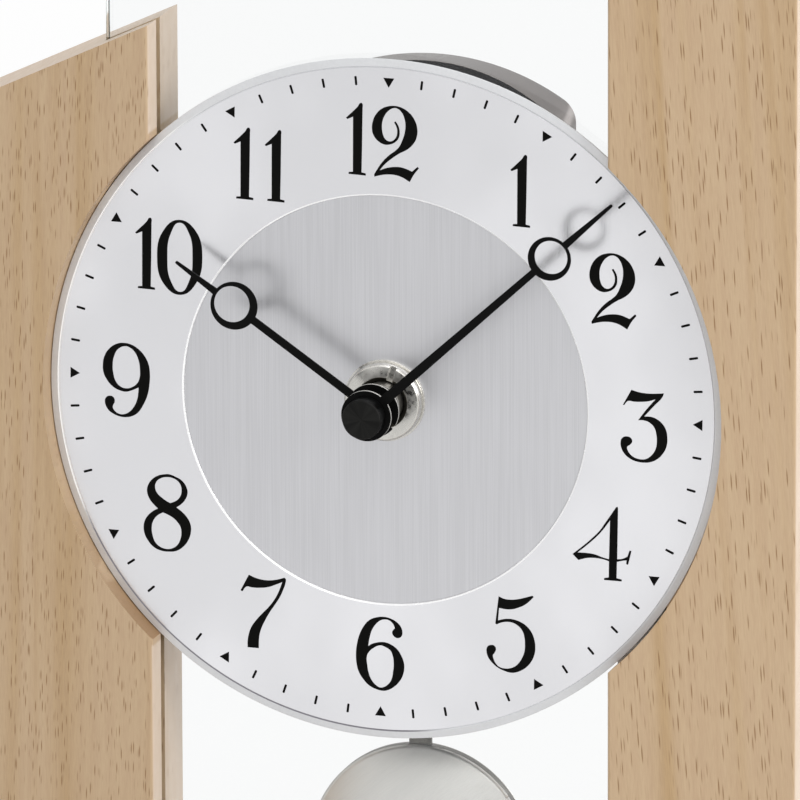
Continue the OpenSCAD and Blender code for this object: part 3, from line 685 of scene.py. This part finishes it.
def rim_start(sizes):
    """Distance from the hand shaft at which the rim of the ring starts to slope."""
    return (RING_HIGH.x - RING_LOW.x) / 2 - sizes.rim_width


def ring_profile(sizes):
    """Corners of the ring's section: face, groove, sloping rim, back and the lip's rounded edge."""
    slope = rim_start(sizes)
    outer = slope + sizes.rim_width
    thick = RING_HIGH.y - RING_LOW.y
    inner, lip, drop = sizes.ring_opening, sizes.ring_lip, sizes.rim_drop
    edge_across, edge_back = 0.08 * MM, 0.06 * MM
    return [
        (inner + lip, 0),
        (slope - sizes.groove_width, 0),
        (slope - sizes.groove_floor, sizes.groove_drop),
        (slope, 0),
        (outer - edge_across, drop),
        (outer, drop + edge_back),
        (outer, thick),
        (inner, thick),
        (inner, lip * 0.9),
        (inner + lip * 0.3, lip * 0.3),
    ]


class CLOCK_OT_dial(bpy.types.Operator):
    """Turn the ring and the middle of the dial"""

    bl_idname = "clock.dial"
    bl_label = "Dial"

    def execute(self, context):
        sizes = context.scene.clock_sizes
        crisp = 8
        names = ("satin_aluminium", "dial_rim", "dial_lip", "dial_groove")
        ring = turned("silver_ring", ring_profile(sizes), DIAL, *(FINISHES[name] for name in names))
        slope = rim_start(sizes)
        for face in ring.data.polygons:
            spot = face.center - DIAL
            reach = math.hypot(spot.x, spot.z)
            if reach > slope:
                face.material_index = names.index("dial_rim")
            elif reach > slope - sizes.groove_width:
                face.material_index = names.index("dial_groove")
            elif reach < sizes.ring_opening + sizes.ring_lip:
                face.material_index = names.index("dial_lip")
        smooth(ring, crisp)
        mount(ring, "dial_ring")
        low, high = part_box("dial_middle")
        outer, hole, edge = (high.z - low.z) / 2, sizes.middle_hole, sizes.middle_edge
        thick = high.y - low.y
        profile = [(hole + edge, 0), (outer - edge, 0), (outer, edge)]
        profile += [(outer, thick), (hole, thick), (hole, edge)]
        centre = Vector((DIAL.x, low.y, DIAL.z))
        middle = turned("brushed_middle", profile, centre, FINISHES["brushed_aluminium"])
        smooth(middle, crisp)
        mount(middle, "dial_middle")
        return {"FINISHED"}


# Each digit is drawn on its own grid, x to the right and y down, as it is seen from where the camera
# stands: grid steps for each seen millimetre, then its outlines. A third value of 1 marks a sharp corner.
DIGITS = {
    "0": (73.8, [
        [(930, 158), (1189, 330), (1293, 744), (1189, 1158), (945, 1330), (689, 1158), (585, 744),
         (680, 330)],
        [(940, 198), (1084, 358), (1143, 743), (1084, 1128), (945, 1288), (801, 1128), (742, 743),
         (801, 358)],
    ]),
    "1": (73.8, [
        [(324, 474, 1), (430, 378), (505, 305), (552, 248), (573, 258), (577, 330, 1), (569, 900, 1),
         (560, 1328, 1), (628, 1346, 1), (626, 1374, 1), (362, 1346, 1), (365, 1320, 1), (430, 1318, 1),
         (433, 456, 1), (342, 492, 1)],
    ]),
    "2": (77.7, [
        [(617, 580), (630, 430), (690, 310), (780, 230), (880, 195), (990, 190), (1100, 220), (1220, 300),
         (1310, 420), (1355, 570), (1345, 700), (1290, 810), (1190, 900), (1060, 965), (930, 1050),
         (820, 1140), (730, 1245, 1), (850, 1205), (980, 1188), (1110, 1200), (1272, 1266, 1),
         (1360, 1190, 1), (1380, 1212, 1), (1300, 1310), (1232, 1430, 1), (1100, 1350), (990, 1315),
         (870, 1305), (760, 1315), (656, 1338, 1), (650, 1305, 1), (690, 1240), (780, 1110), (890, 1000),
         (1000, 920), (1060, 860), (1110, 760), (1150, 640), (1165, 510), (1150, 400), (1100, 290),
         (1040, 235), (980, 220), (900, 250), (820, 340), (780, 450), (775, 560), (790, 650), (830, 730),
         (890, 768), (950, 760), (1010, 700), (1030, 620), (1020, 540), (980, 455, 1), (1002, 444, 1),
         (1050, 530), (1065, 620), (1050, 710), (990, 780), (900, 815), (820, 815), (730, 770),
         (650, 680)],
    ]),
    "3": (77.7, [
        [(222, 404, 1), (358, 163, 1), (470, 200), (600, 222), (740, 228), (882, 222, 1), (870, 265),
         (720, 430), (562, 600, 1), (690, 610), (780, 650), (870, 730), (925, 830), (945, 960),
         (935, 1080), (880, 1200), (780, 1300), (660, 1350), (580, 1355), (460, 1340), (340, 1290),
         (250, 1210), (200, 1120), (185, 1030), (208, 955), (275, 928), (350, 955), (370, 1010),
         (335, 1062), (290, 1095), (295, 1150), (330, 1210), (400, 1270), (480, 1300), (540, 1308),
         (600, 1300), (690, 1240), (760, 1130), (778, 1000), (770, 900), (740, 790), (660, 700),
         (560, 660), (474, 656, 1), (610, 480), (760, 312, 1), (640, 345), (520, 355), (400, 352),
         (300, 342), (240, 406, 1)],
    ]),
    "4": (82.0, [
        [(882, 134, 1), (905, 122), (916, 150, 1), (905, 1035, 1), (1000, 1025), (1085, 988, 1),
         (1122, 882, 1), (1150, 890, 1), (1095, 1122, 1), (1066, 1114, 1), (1072, 1046, 1), (1000, 1055),
         (900, 1075, 1), (895, 1363, 1), (985, 1387, 1), (983, 1415, 1), (683, 1390, 1), (686, 1362, 1),
         (765, 1350, 1), (768, 1066, 1), (700, 1040), (620, 1020), (500, 1005), (380, 1008),
         (235, 1042, 1), (138, 940, 1), (330, 790), (480, 660), (600, 540), (700, 400), (790, 270)],
        [(783, 345, 1), (745, 400), (620, 560), (500, 680), (360, 800), (215, 915, 1), (400, 928),
         (520, 950), (650, 1000), (768, 1035, 1)],
    ]),
    "5": (82.0, [
        [(325, 108, 1), (400, 145), (500, 165), (640, 160), (780, 130), (908, 96, 1), (928, 116, 1),
         (860, 185), (760, 260), (650, 305), (560, 328), (450, 328), (328, 305, 1), (310, 530, 1),
         (400, 508), (480, 500), (570, 510), (680, 545), (800, 620), (890, 730), (945, 870), (960, 1000),
         (950, 1100), (900, 1230), (820, 1330), (720, 1400), (620, 1435), (540, 1440), (430, 1410),
         (310, 1350), (200, 1250), (140, 1160), (115, 1060), (130, 990), (190, 960), (255, 980),
         (275, 1035), (250, 1095), (222, 1135), (230, 1190), (265, 1270), (330, 1340), (420, 1370),
         (510, 1370), (600, 1340), (680, 1270), (750, 1150), (780, 1050), (785, 950), (775, 820),
         (740, 710), (670, 625), (570, 565), (490, 550), (400, 555), (330, 575), (290, 594, 1),
         (268, 578, 1)],
    ]),
    "6": (67.1, [
        [(600, 245), (700, 240), (800, 268), (890, 325), (940, 390), (958, 455), (945, 515), (895, 540),
         (845, 518), (815, 465), (832, 425), (852, 402), (845, 370), (815, 320), (770, 285), (705, 272),
         (640, 288), (575, 345), (520, 430), (490, 530), (475, 610), (469, 664, 1), (510, 635), (580, 612),
         (650, 602), (720, 607), (800, 640), (880, 700), (945, 800), (980, 900), (985, 970), (970, 1060),
         (920, 1160), (840, 1240), (760, 1285), (690, 1298), (600, 1280), (490, 1225), (400, 1130),
         (335, 1020), (305, 900), (298, 760), (310, 640), (345, 500), (410, 370), (490, 285)],
        [(645, 645), (720, 670), (790, 720), (825, 800), (838, 900), (830, 1020), (800, 1150), (750, 1215),
         (690, 1250), (640, 1255), (580, 1220), (520, 1150), (480, 1060), (455, 930), (450, 800),
         (480, 740), (550, 680)],
    ]),
    "7": (73.8, [
        [(370, 148, 1), (460, 190), (560, 220), (680, 235), (800, 225), (935, 193, 1), (950, 212),
         (945, 280), (910, 380), (860, 490), (790, 600), (700, 730), (620, 870), (560, 1000), (530, 1120),
         (522, 1304, 1), (350, 1290, 1), (350, 1200), (370, 1080), (410, 970), (480, 870), (580, 760),
         (680, 660), (760, 560), (830, 440), (902, 256, 1), (800, 295), (680, 335), (540, 348), (420, 342),
         (330, 330), (268, 403, 1), (241, 390, 1)],
    ]),
    "8": (77.7, [
        [(645, 147), (560, 150), (480, 165), (380, 220), (300, 330), (285, 430), (330, 560), (400, 650),
         (466, 715, 1), (380, 760), (290, 840), (240, 930), (225, 1020), (240, 1130), (300, 1250),
         (400, 1360), (520, 1415), (640, 1430), (760, 1420), (880, 1350), (970, 1230), (1010, 1100),
         (1005, 990), (950, 870), (860, 770), (766, 696, 1), (850, 640), (920, 560), (955, 460),
         (940, 370), (870, 260), (760, 190)],
        [(610, 190), (500, 215), (430, 280), (415, 370), (450, 460), (520, 530), (600, 590), (670, 628, 1),
         (780, 580), (840, 510), (860, 430), (850, 340), (800, 260), (720, 210)],
        [(545, 777, 1), (450, 830), (380, 920), (355, 1040), (370, 1160), (410, 1270), (490, 1350),
         (600, 1390), (700, 1380), (780, 1330), (840, 1220), (855, 1110), (840, 1020), (790, 940),
         (720, 870), (620, 810)],
    ]),
    "9": (77.7, [
        [(560, 128), (450, 140), (330, 210), (240, 340), (212, 490), (220, 600), (270, 720), (380, 850),
         (490, 910), (590, 932), (690, 910), (806, 862, 1), (800, 960), (780, 1070), (730, 1180),
         (650, 1270), (560, 1310), (480, 1305), (410, 1260), (370, 1195), (378, 1150), (402, 1100),
         (385, 1030), (320, 1003), (258, 1035), (243, 1090), (290, 1220), (370, 1290), (480, 1340),
         (600, 1355), (700, 1335), (790, 1280), (880, 1150), (950, 990), (985, 790), (990, 620),
         (965, 470), (900, 340), (800, 230), (680, 155)],
        [(590, 178), (470, 220), (400, 330), (370, 510), (380, 620), (420, 760), (500, 850), (600, 882),
         (700, 860), (780, 800), (820, 720), (830, 560), (800, 390), (740, 270), (660, 200)],
    ]),
}

# Middle of each digit to the right of and above the middle of the dial, in millimetres
NUMERALS = {
    "one": [("1", 30.0, 47.1)],
    "two": [("2", 50.3, 26.7)],
    "three": [("3", 57.1, -2.2)],
    "four": [("4", 47.9, -28.6)],
    "five": [("5", 27.8, -49.8)],
    "six": [("6", -1.2, -56.2)],
    "seven": [("7", -27.2, -48.7)],
    "eight": [("8", -48.5, -28.4)],
    "nine": [("9", -57.4, 0.3)],
    "ten": [("1", -53.0, 28.3), ("0", -45.3, 28.0)],
    "eleven": [("1", -31.0, 49.3), ("1", -24.1, 49.2)],
    "twelve": [("1", -6.1, 56.2), ("2", 2.6, 55.7)],
}


def view_axes(stage):
    """The camera's directions to the right, up and back."""
    turn, lift = stage.azimuth, stage.elevation
    back = Vector((math.sin(turn) * math.cos(lift), -math.cos(turn) * math.cos(lift), math.sin(lift)))
    level = Vector((math.cos(turn), math.sin(turn), 0))
    right = Matrix.Rotation(stage.roll, 3, back) @ level
    return right, back.cross(right), back


def flatten(grid_x, grid_y, steps, stage):
    """The place on the dial of a point that is seen at grid_x, grid_y on a digit's grid."""
    right, up, _ = view_axes(stage)
    seen = Vector((grid_x / steps, -grid_y / steps))
    return Matrix(((right.x, right.z), (up.x, up.z))).inverted() @ seen


def draw_digit(digit, stage):
    """The outlines of a digit in millimetres round its own middle, with holes turned the other way."""
    steps, outlines = DIGITS[digit]
    across = [p[0] for p in outlines[0]]
    down = [p[1] for p in outlines[0]]
    mid_x, mid_y = (min(across) + max(across)) / 2, (min(down) + max(down)) / 2
    drawn = []
    for outline in outlines:
        points = [(flatten(p[0] - mid_x, p[1] - mid_y, steps, stage), len(p) == 3) for p in outline]
        area = sum(a.cross(b) for (a, _), (b, _) in zip(points, points[1:] + points[:1]))
        drawn.append(points[::-1] if (area > 0) == bool(drawn) else points)
    return drawn


def print_middle(sizes):
    """The middle of the print, on the front of the ring."""
    return DIAL + Vector((0, 0, sizes.print_rise))


def numeral_mesh(name, digits, sizes, stage):
    """A numeral as a thin closed plate."""
    curve = bpy.data.curves.new(name, "CURVE")
    curve.dimensions = "2D"
    curve.fill_mode = "BOTH"
    curve.extrude = sizes.print_depth / MM / 2
    curve.offset = sizes.print_swell / MM
    curve.resolution_u = 6
    for digit, x, z in digits:
        for outline in draw_digit(digit, stage):
            spline = curve.splines.new("BEZIER")
            spline.bezier_points.add(len(outline) - 1)
            spline.use_cyclic_u = True
            for point, (spot, _) in zip(spline.bezier_points, outline):
                point.co = (spot.x + x, spot.y + z, 0)
            for point, (_, corner) in zip(spline.bezier_points, outline):
                point.handle_left_type = point.handle_right_type = "VECTOR" if corner else "AUTO"
    drawing = bpy.data.objects.new(name, curve)
    bpy.context.scene.collection.objects.link(drawing)
    graph = bpy.context.evaluated_depsgraph_get()
    mesh = bpy.data.meshes.new_from_object(drawing.evaluated_get(graph))
    bpy.data.objects.remove(drawing)
    # The drawing is in millimetres, and is scaled after its seams are closed
    seam = 0.002
    work = bmesh.new()
    work.from_mesh(mesh)
    bmesh.ops.remove_doubles(work, verts=work.verts, dist=seam)
    bmesh.ops.recalc_face_normals(work, faces=work.faces)
    bmesh.ops.transform(work, matrix=Matrix.Scale(MM, 4), verts=work.verts)
    bmesh.ops.transform(work, matrix=Matrix.Translation(print_middle(sizes)) @ STAND_UP, verts=work.verts)
    work.to_mesh(mesh)
    work.free()
    return mesh


class CLOCK_OT_numerals(bpy.types.Operator):
    """Print the twelve numerals on the ring"""

    bl_idname = "clock.numerals"
    bl_label = "Numerals"

    def execute(self, context):
        scene = context.scene
        for word, digits in NUMERALS.items():
            name = "numeral_" + word
            mesh = numeral_mesh(name, digits, scene.clock_sizes, scene.clock_stage)
            piece = add_piece(name, mesh, FINISHES["ink"])
            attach(piece, "stand")
        return {"FINISHED"}


def tree_input(tree, name, kind, default):
    """Adds a named input to a tree."""
    socket = tree.interface.new_socket(name, in_out="INPUT", socket_type=kind)
    socket.default_value = default


def marks_tree(material):
    """Geometry nodes that set ticks round a circle, with a triangle at every fifth place."""
    tree = bpy.data.node_groups.new("minute marks", "GeometryNodeTree")
    tree.interface.new_socket("Geometry", in_out="OUTPUT", socket_type="NodeSocketGeometry")
    tree_input(tree, "Count", "NodeSocketInt", 60)
    for name in ("Radius", "Tick Length", "Tick Width", "Mark Size", "Depth", "Turn"):
        tree_input(tree, name, "NodeSocketFloat", 0.001)
    tree_input(tree, "Centre", "NodeSocketVector", (0, 0, 0))

    def node(kind, inputs, **settings):
        return new_node(tree, kind, inputs, settings).outputs

    def joined(first, second):
        join = tree.nodes.new("GeometryNodeJoinGeometry")
        tree.links.new(first, join.inputs[0])
        tree.links.new(second, join.inputs[0])
        return join.outputs[0]

    sizes = node("NodeGroupInput", {})
    places = node("GeometryNodeMeshCircle", {"Vertices": sizes["Count"], "Radius": sizes["Radius"]})["Mesh"]
    inputs = {"Width": sizes["Tick Length"], "Height": sizes["Tick Width"]}
    box = node("GeometryNodeCurvePrimitiveQuadrilateral", inputs)
    corner = node("ShaderNodeMath", {0: sizes["Tick Width"], 1: 0.4}, operation="MULTIPLY")[0]
    inputs = {"Curve": box["Curve"], "Radius": corner, "Count": 4}
    rounded = node("GeometryNodeFilletCurve", inputs, mode="POLY")
    flat = node("GeometryNodeFillCurve", {"Curve": rounded["Curve"]}, mode="NGONS")["Mesh"]
    inputs = {"Mesh": flat, "Offset Scale": sizes["Depth"]}
    raised = node("GeometryNodeExtrudeMesh", inputs, mode="FACES")["Mesh"]
    under = node("GeometryNodeFlipFaces", {"Mesh": flat})["Mesh"]
    inputs = {"Geometry": joined(raised, under), "Distance": 0.001 * MM}
    tick = node("GeometryNodeMergeByDistance", inputs)["Geometry"]
    inputs = {"Vertices": 3, "Radius": sizes["Mark Size"], "Depth": sizes["Depth"]}
    mark = node("GeometryNodeMeshCylinder", inputs)["Mesh"]
    half = node("ShaderNodeMath", {0: sizes["Depth"], 1: 0.5}, operation="MULTIPLY")[0]
    lift = node("ShaderNodeCombineXYZ", {"Z": half})[0]
    inputs = {"Geometry": mark, "Translation": lift, "Rotation": (0, 0, math.pi)}
    mark = node("GeometryNodeTransform", inputs)["Geometry"]
    order = node("GeometryNodeInputIndex", {})["Index"]
    fifth = node("ShaderNodeMath", {0: order, 1: 5.0}, operation="MODULO")[0]
    is_tick = node("ShaderNodeMath", {0: fifth, 1: 0.5}, operation="GREATER_THAN")[0]
    is_mark = node("ShaderNodeMath", {0: fifth, 1: 0.5}, operation="LESS_THAN")[0]
    outwards = node("GeometryNodeInputPosition", {})["Position"]
    turned_out = node("FunctionNodeAlignRotationToVector", {"Vector": outwards}, axis="X", pivot_axis="Z")
    rotation = turned_out["Rotation"]
    inputs = {"Points": places, "Selection": is_tick, "Instance": tick, "Rotation": rotation}
    ticks = node("GeometryNodeInstanceOnPoints", inputs)["Instances"]
    inputs = {"Points": places, "Selection": is_mark, "Instance": mark, "Rotation": rotation}
    marks = node("GeometryNodeInstanceOnPoints", inputs)["Instances"]
    back_turn = node("ShaderNodeMath", {0: sizes["Turn"], 1: -1.0}, operation="MULTIPLY")[0]
    spin = node("ShaderNodeCombineXYZ", {"Z": back_turn})[0]
    inputs = {"Geometry": joined(ticks, marks), "Rotation": spin}
    spun = node("GeometryNodeTransform", inputs)["Geometry"]
    upright = {"Geometry": spun, "Translation": sizes["Centre"], "Rotation": (math.radians(90), 0, 0)}
    stood = node("GeometryNodeTransform", upright)["Geometry"]
    whole = node("GeometryNodeRealizeInstances", {"Geometry": stood})["Geometry"]
    inked = node("GeometryNodeSetMaterial", {"Geometry": whole, "Material": material})["Geometry"]
    node("NodeGroupOutput", {"Geometry": inked})
    return tree


class CLOCK_OT_minute_marks(bpy.types.Operator):
    """Print the minute ticks and the hour triangles"""

    bl_idname = "clock.minute_marks"
    bl_label = "Minute marks"

    def execute(self, context):
        sizes = context.scene.clock_sizes
        piece = add_piece("minute_marks", bpy.data.meshes.new("minute_marks"), FINISHES["ink"])
        nodes = piece.modifiers.new("marks", "NODES")
        nodes.node_group = marks_tree(FINISHES["ink"])
        values = {
            "Count": sizes.minute_count,
            "Radius": sizes.tick_radius,
            "Tick Length": sizes.tick_length,
            "Tick Width": sizes.tick_width,
            "Mark Size": sizes.mark_radius,
            "Depth": sizes.print_depth,
            "Turn": sizes.print_turn,
            "Centre": print_middle(sizes) + Vector((0, sizes.print_depth / 2, 0)),
        }
        for socket in nodes.node_group.interface.items_tree:
            if socket.in_out == "INPUT":
                nodes[socket.identifier] = values[socket.name]
        settle(piece)
        if len(piece.data.polygons) < sizes.minute_count:
            raise RuntimeError("the minute marks came out empty")
        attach(piece, "stand")
        return {"FINISHED"}


class CLOCK_OT_hands(bpy.types.Operator):
    """Finish both hands and the cap that holds them"""

    bl_idname = "clock.hands"
    bl_label = "Hands"

    def execute(self, context):
        edge = context.scene.clock_sizes.sheet_edge
        copy_node("hour_hand", "black_hour_hand", FINISHES["hour_lacquer"], edge=edge, steps=2)
        copy_node("minute_hand", "black_minute_hand", FINISHES["black_lacquer"], edge=edge, steps=2)
        copy_node("hand_cap", "black_cap", FINISHES["cap_lacquer"], edge=edge, steps=2)
        return {"FINISHED"}


class CLOCK_OT_hub(bpy.types.Operator):
    """Finish the bush, the washer and the ring nut under the hands"""

    bl_idname = "clock.hub"
    bl_label = "Hub"

    def execute(self, context):
        sizes = context.scene.clock_sizes
        edge = sizes.nut_edge
        nut = copy_node("mounting_nut", "ring_nut", FINISHES["nickel"], FINISHES["dark_steel"], edge=edge)
        # Painted shade: the mouth of the nut round the bush takes the dark steel.
        for face in nut.data.polygons:
            spot = face.center - DIAL
            in_mouth_shade = math.hypot(spot.x, spot.z) < sizes.nut_mouth_shade and abs(face.normal.y) < 0.95
            face.material_index = 1 if in_mouth_shade else 0
        copy_node("flat_washer", "thin_washer", FINISHES["nickel"], edge=edge / 4)
        copy_node("shaft_bush", "threaded_bush", FINISHES["bush_steel"], edge=edge / 3)
        return {"FINISHED"}


class CLOCK_OT_pendulum(bpy.types.Operator):
    """Finish the rod and the bob of the pendulum"""

    bl_idname = "clock.pendulum"
    bl_label = "Pendulum"

    def execute(self, context):
        edge = context.scene.clock_sizes.sheet_edge
        bob = copy_node("bob_front", "satin_bob", FINISHES["satin_nickel"], FINISHES["bob_edge"])
        # The edge of the bob takes the darker copy of its metal as painted shade.
        for face in bob.data.polygons:
            face.material_index = 1 if abs(face.normal.y) < 0.3 else 0
        copy_node("bob_back", "bob_back_plate", FINISHES["satin_nickel"], edge=2 * edge, steps=2)
        copy_node("pendulum_rod", "steel_rod", FINISHES["dark_steel"], edge=edge, steps=2)
        copy_node("hanger_arm", "moulded_hanger", FINISHES["white_plastic"], edge=2 * edge, steps=2)
        return {"FINISHED"}


class CLOCK_OT_case(bpy.types.Operator):
    """Round the edges of the case, its cover and the setting knob"""

    bl_idname = "clock.case"
    bl_label = "Case"

    def execute(self, context):
        edge = context.scene.clock_sizes.case_edge
        copy_node("front_case", "moulded_case", FINISHES["black_plastic"], edge=edge / 2)
        copy_node("rear_cover", "silver_cover", FINISHES["silver_plastic"], edge=edge)
        copy_node("setting_knob", "moulded_knob", FINISHES["grey_plastic"], edge=edge / 5)
        copy_node("battery", "round_cell", FINISHES["battery_sleeve"], edge=edge / 2)
        return {"FINISHED"}


# Stage


def white_share(material):
    """One for the rays that see the surroundings, from the camera, off gloss and through glass,
    and the sockets that tell one kind of ray from another."""
    path = add_node(material, "ShaderNodeLightPath").outputs
    seen = maths(material, "MAXIMUM", path["Is Camera Ray"], path["Is Glossy Ray"])
    return maths(material, "MAXIMUM", seen, path["Is Transmission Ray"]), path


def make_floor(stage):
    """Matt pale floor that looks white round the object and keeps its shadow."""
    material, shader = start("pale_floor", (0.8, 0.8, 0.8), 0.9, specular=0.0)
    share, path = white_share(material)
    fine = noise(material, (4, 4, 4))
    lit = mixed(material, fine, (0.79, 0.79, 0.79), (0.81, 0.81, 0.81))
    link(material, mixed(material, share, lit, (0.35, 0.35, 0.35)), shader, "Base Color")
    place = add_node(material, "ShaderNodeTexCoord").outputs["Object"]
    reach = add_node(material, "ShaderNodeVectorMath", {0: place}, operation="LENGTH").outputs["Value"]
    # The lamps light the floor too, so the white that is added stays below the white that is seen
    far = 1.6
    white = spread(material, reach, 0.4, far, stage.seen_white - 0.375, stage.seen_white - 0.265)
    # Painted pool of light: the floor's glow seen in reflections is brighter near the object and fades
    # farther out.
    gloss = spread(material, reach, 0.3, far, 0.58, 0.47)
    mirrored = maths(material, "SUBTRACT", path["Is Glossy Ray"], path["Is Transmission Ray"])
    inputs = {0: mirrored, 2: white, 3: gloss}
    shown = add_node(material, "ShaderNodeMix", inputs, data_type="FLOAT").outputs[0]
    link(material, maths(material, "MULTIPLY", share, shown), shader, "Emission Strength")
    shader.inputs["Emission Color"].default_value = (1, 1, 1, 1)
    return material


def make_world(stage):
    """White all round for the rays that see it, and an even room light for the others."""
    world = bpy.data.worlds.new("white room")
    bpy.context.scene.world = world
    world.use_nodes = True
    share, _ = white_share(world)
    inputs = {0: share, 2: stage.room_light, 3: stage.seen_white}
    strength = add_node(world, "ShaderNodeMix", inputs, data_type="FLOAT").outputs[0]
    room = world.node_tree.nodes["Background"]
    room.inputs["Color"].default_value = (1, 1, 1, 1)
    link(world, strength, room, "Strength")


# Place of each lamp, from the middle under the base, and the length of its sides, in metres
LAMPS = {
    "key": ((0.3, -1.5, 1.3), 1.15),
    "top": ((0.15, 0.1, 1.5), 0.8),
    "side": ((1.4, -0.7, 0.7), 0.7),
    "rear": ((1.2, 0.8, 0.6), 0.8),
}


def add_lamp(name, place, size, watts):
    """A square soft lamp that shines at the dial and isn't seen itself."""
    light = bpy.data.lights.new(name, "AREA")
    light.size = size
    light.energy = watts
    lamp = bpy.data.objects.new(name, light)
    bpy.context.scene.collection.objects.link(lamp)
    place = Vector(place)
    turn = (DIAL - place).to_track_quat("-Z", "Y").to_matrix().to_4x4()
    lamp.matrix_world = Matrix.Translation(place) @ turn
    lamp.visible_camera = False


class CLOCK_OT_stage(bpy.types.Operator):
    """Set up the floor, the light and the camera"""

    bl_idname = "clock.stage"
    bl_label = "Stage"

    def execute(self, context):
        stage = context.scene.clock_stage
        mesh = bpy.data.meshes.new("floor")
        half = 30.0
        corners = [(-half, -half, 0), (half, -half, 0), (half, half, 0), (-half, half, 0)]
        mesh.from_pydata(corners, [], [(0, 1, 2, 3)])
        add_piece("floor", mesh, make_floor(stage))
        make_world(stage)
        for name, (place, size) in LAMPS.items():
            add_lamp(name + "_lamp", place, size, getattr(stage, name + "_power"))
        right, up, back = view_axes(stage)
        lens = bpy.data.cameras.new("camera")
        lens.lens = stage.lens
        lens.sensor_width = 36
        lens.shift_x, lens.shift_y = stage.shift_across, stage.shift_up
        lens.clip_end = 100
        camera = bpy.data.objects.new("camera", lens)
        context.scene.collection.objects.link(camera)
        turn = Matrix((right, up, back)).transposed().to_4x4()
        aim = print_middle(context.scene.clock_sizes)
        camera.matrix_world = Matrix.Translation(aim + back * stage.distance) @ turn
        context.scene.camera = camera
        context.scene.view_settings.view_transform = "Standard"
        return {"FINISHED"}


OPERATORS = (
    CLOCK_OT_finishes, CLOCK_OT_woodwork, CLOCK_OT_pane, CLOCK_OT_dial, CLOCK_OT_numerals,
    CLOCK_OT_minute_marks, CLOCK_OT_hands, CLOCK_OT_hub, CLOCK_OT_pendulum, CLOCK_OT_case, CLOCK_OT_stage,
)


class CLOCK_PT_panel(bpy.types.Panel):
    """Lists the steps, the sizes and the colours of the clock"""

    bl_idname = "CLOCK_PT_panel"
    bl_label = "Pendulum table clock"
    bl_space_type = "VIEW_3D"
    bl_region_type = "UI"
    bl_category = "Clock"

    def draw(self, context):
        for step in OPERATORS:
            self.layout.operator(step.bl_idname)
        for group in (context.scene.clock_sizes, context.scene.clock_colours, context.scene.clock_stage):
            box = self.layout.box()
            for name in group.bl_rna.properties.keys():
                if name not in ("rna_type", "name"):
                    box.prop(group, name)


CLASSES = (ClockSizes, ClockColours, StageSizes) + OPERATORS + (CLOCK_PT_panel,)


def register():
    """Adds the settings, the steps and the panel."""
    for kind in CLASSES:
        bpy.utils.register_class(kind)
    bpy.types.Scene.clock_sizes = PointerProperty(type=ClockSizes)
    bpy.types.Scene.clock_colours = PointerProperty(type=ClockColours)
    bpy.types.Scene.clock_stage = PointerProperty(type=StageSizes)


def unregister():
    """Takes away the settings, the steps and the panel."""
    del bpy.types.Scene.clock_stage
    del bpy.types.Scene.clock_colours
    del bpy.types.Scene.clock_sizes
    for kind in reversed(CLASSES):
        bpy.utils.unregister_class(kind)


def main():
    """Makes the whole clock."""
    register()
    for step in OPERATORS:
        section, name = step.bl_idname.split(".")
        getattr(getattr(bpy.ops, section), name)()


if __name__ == "__main__":
    main()
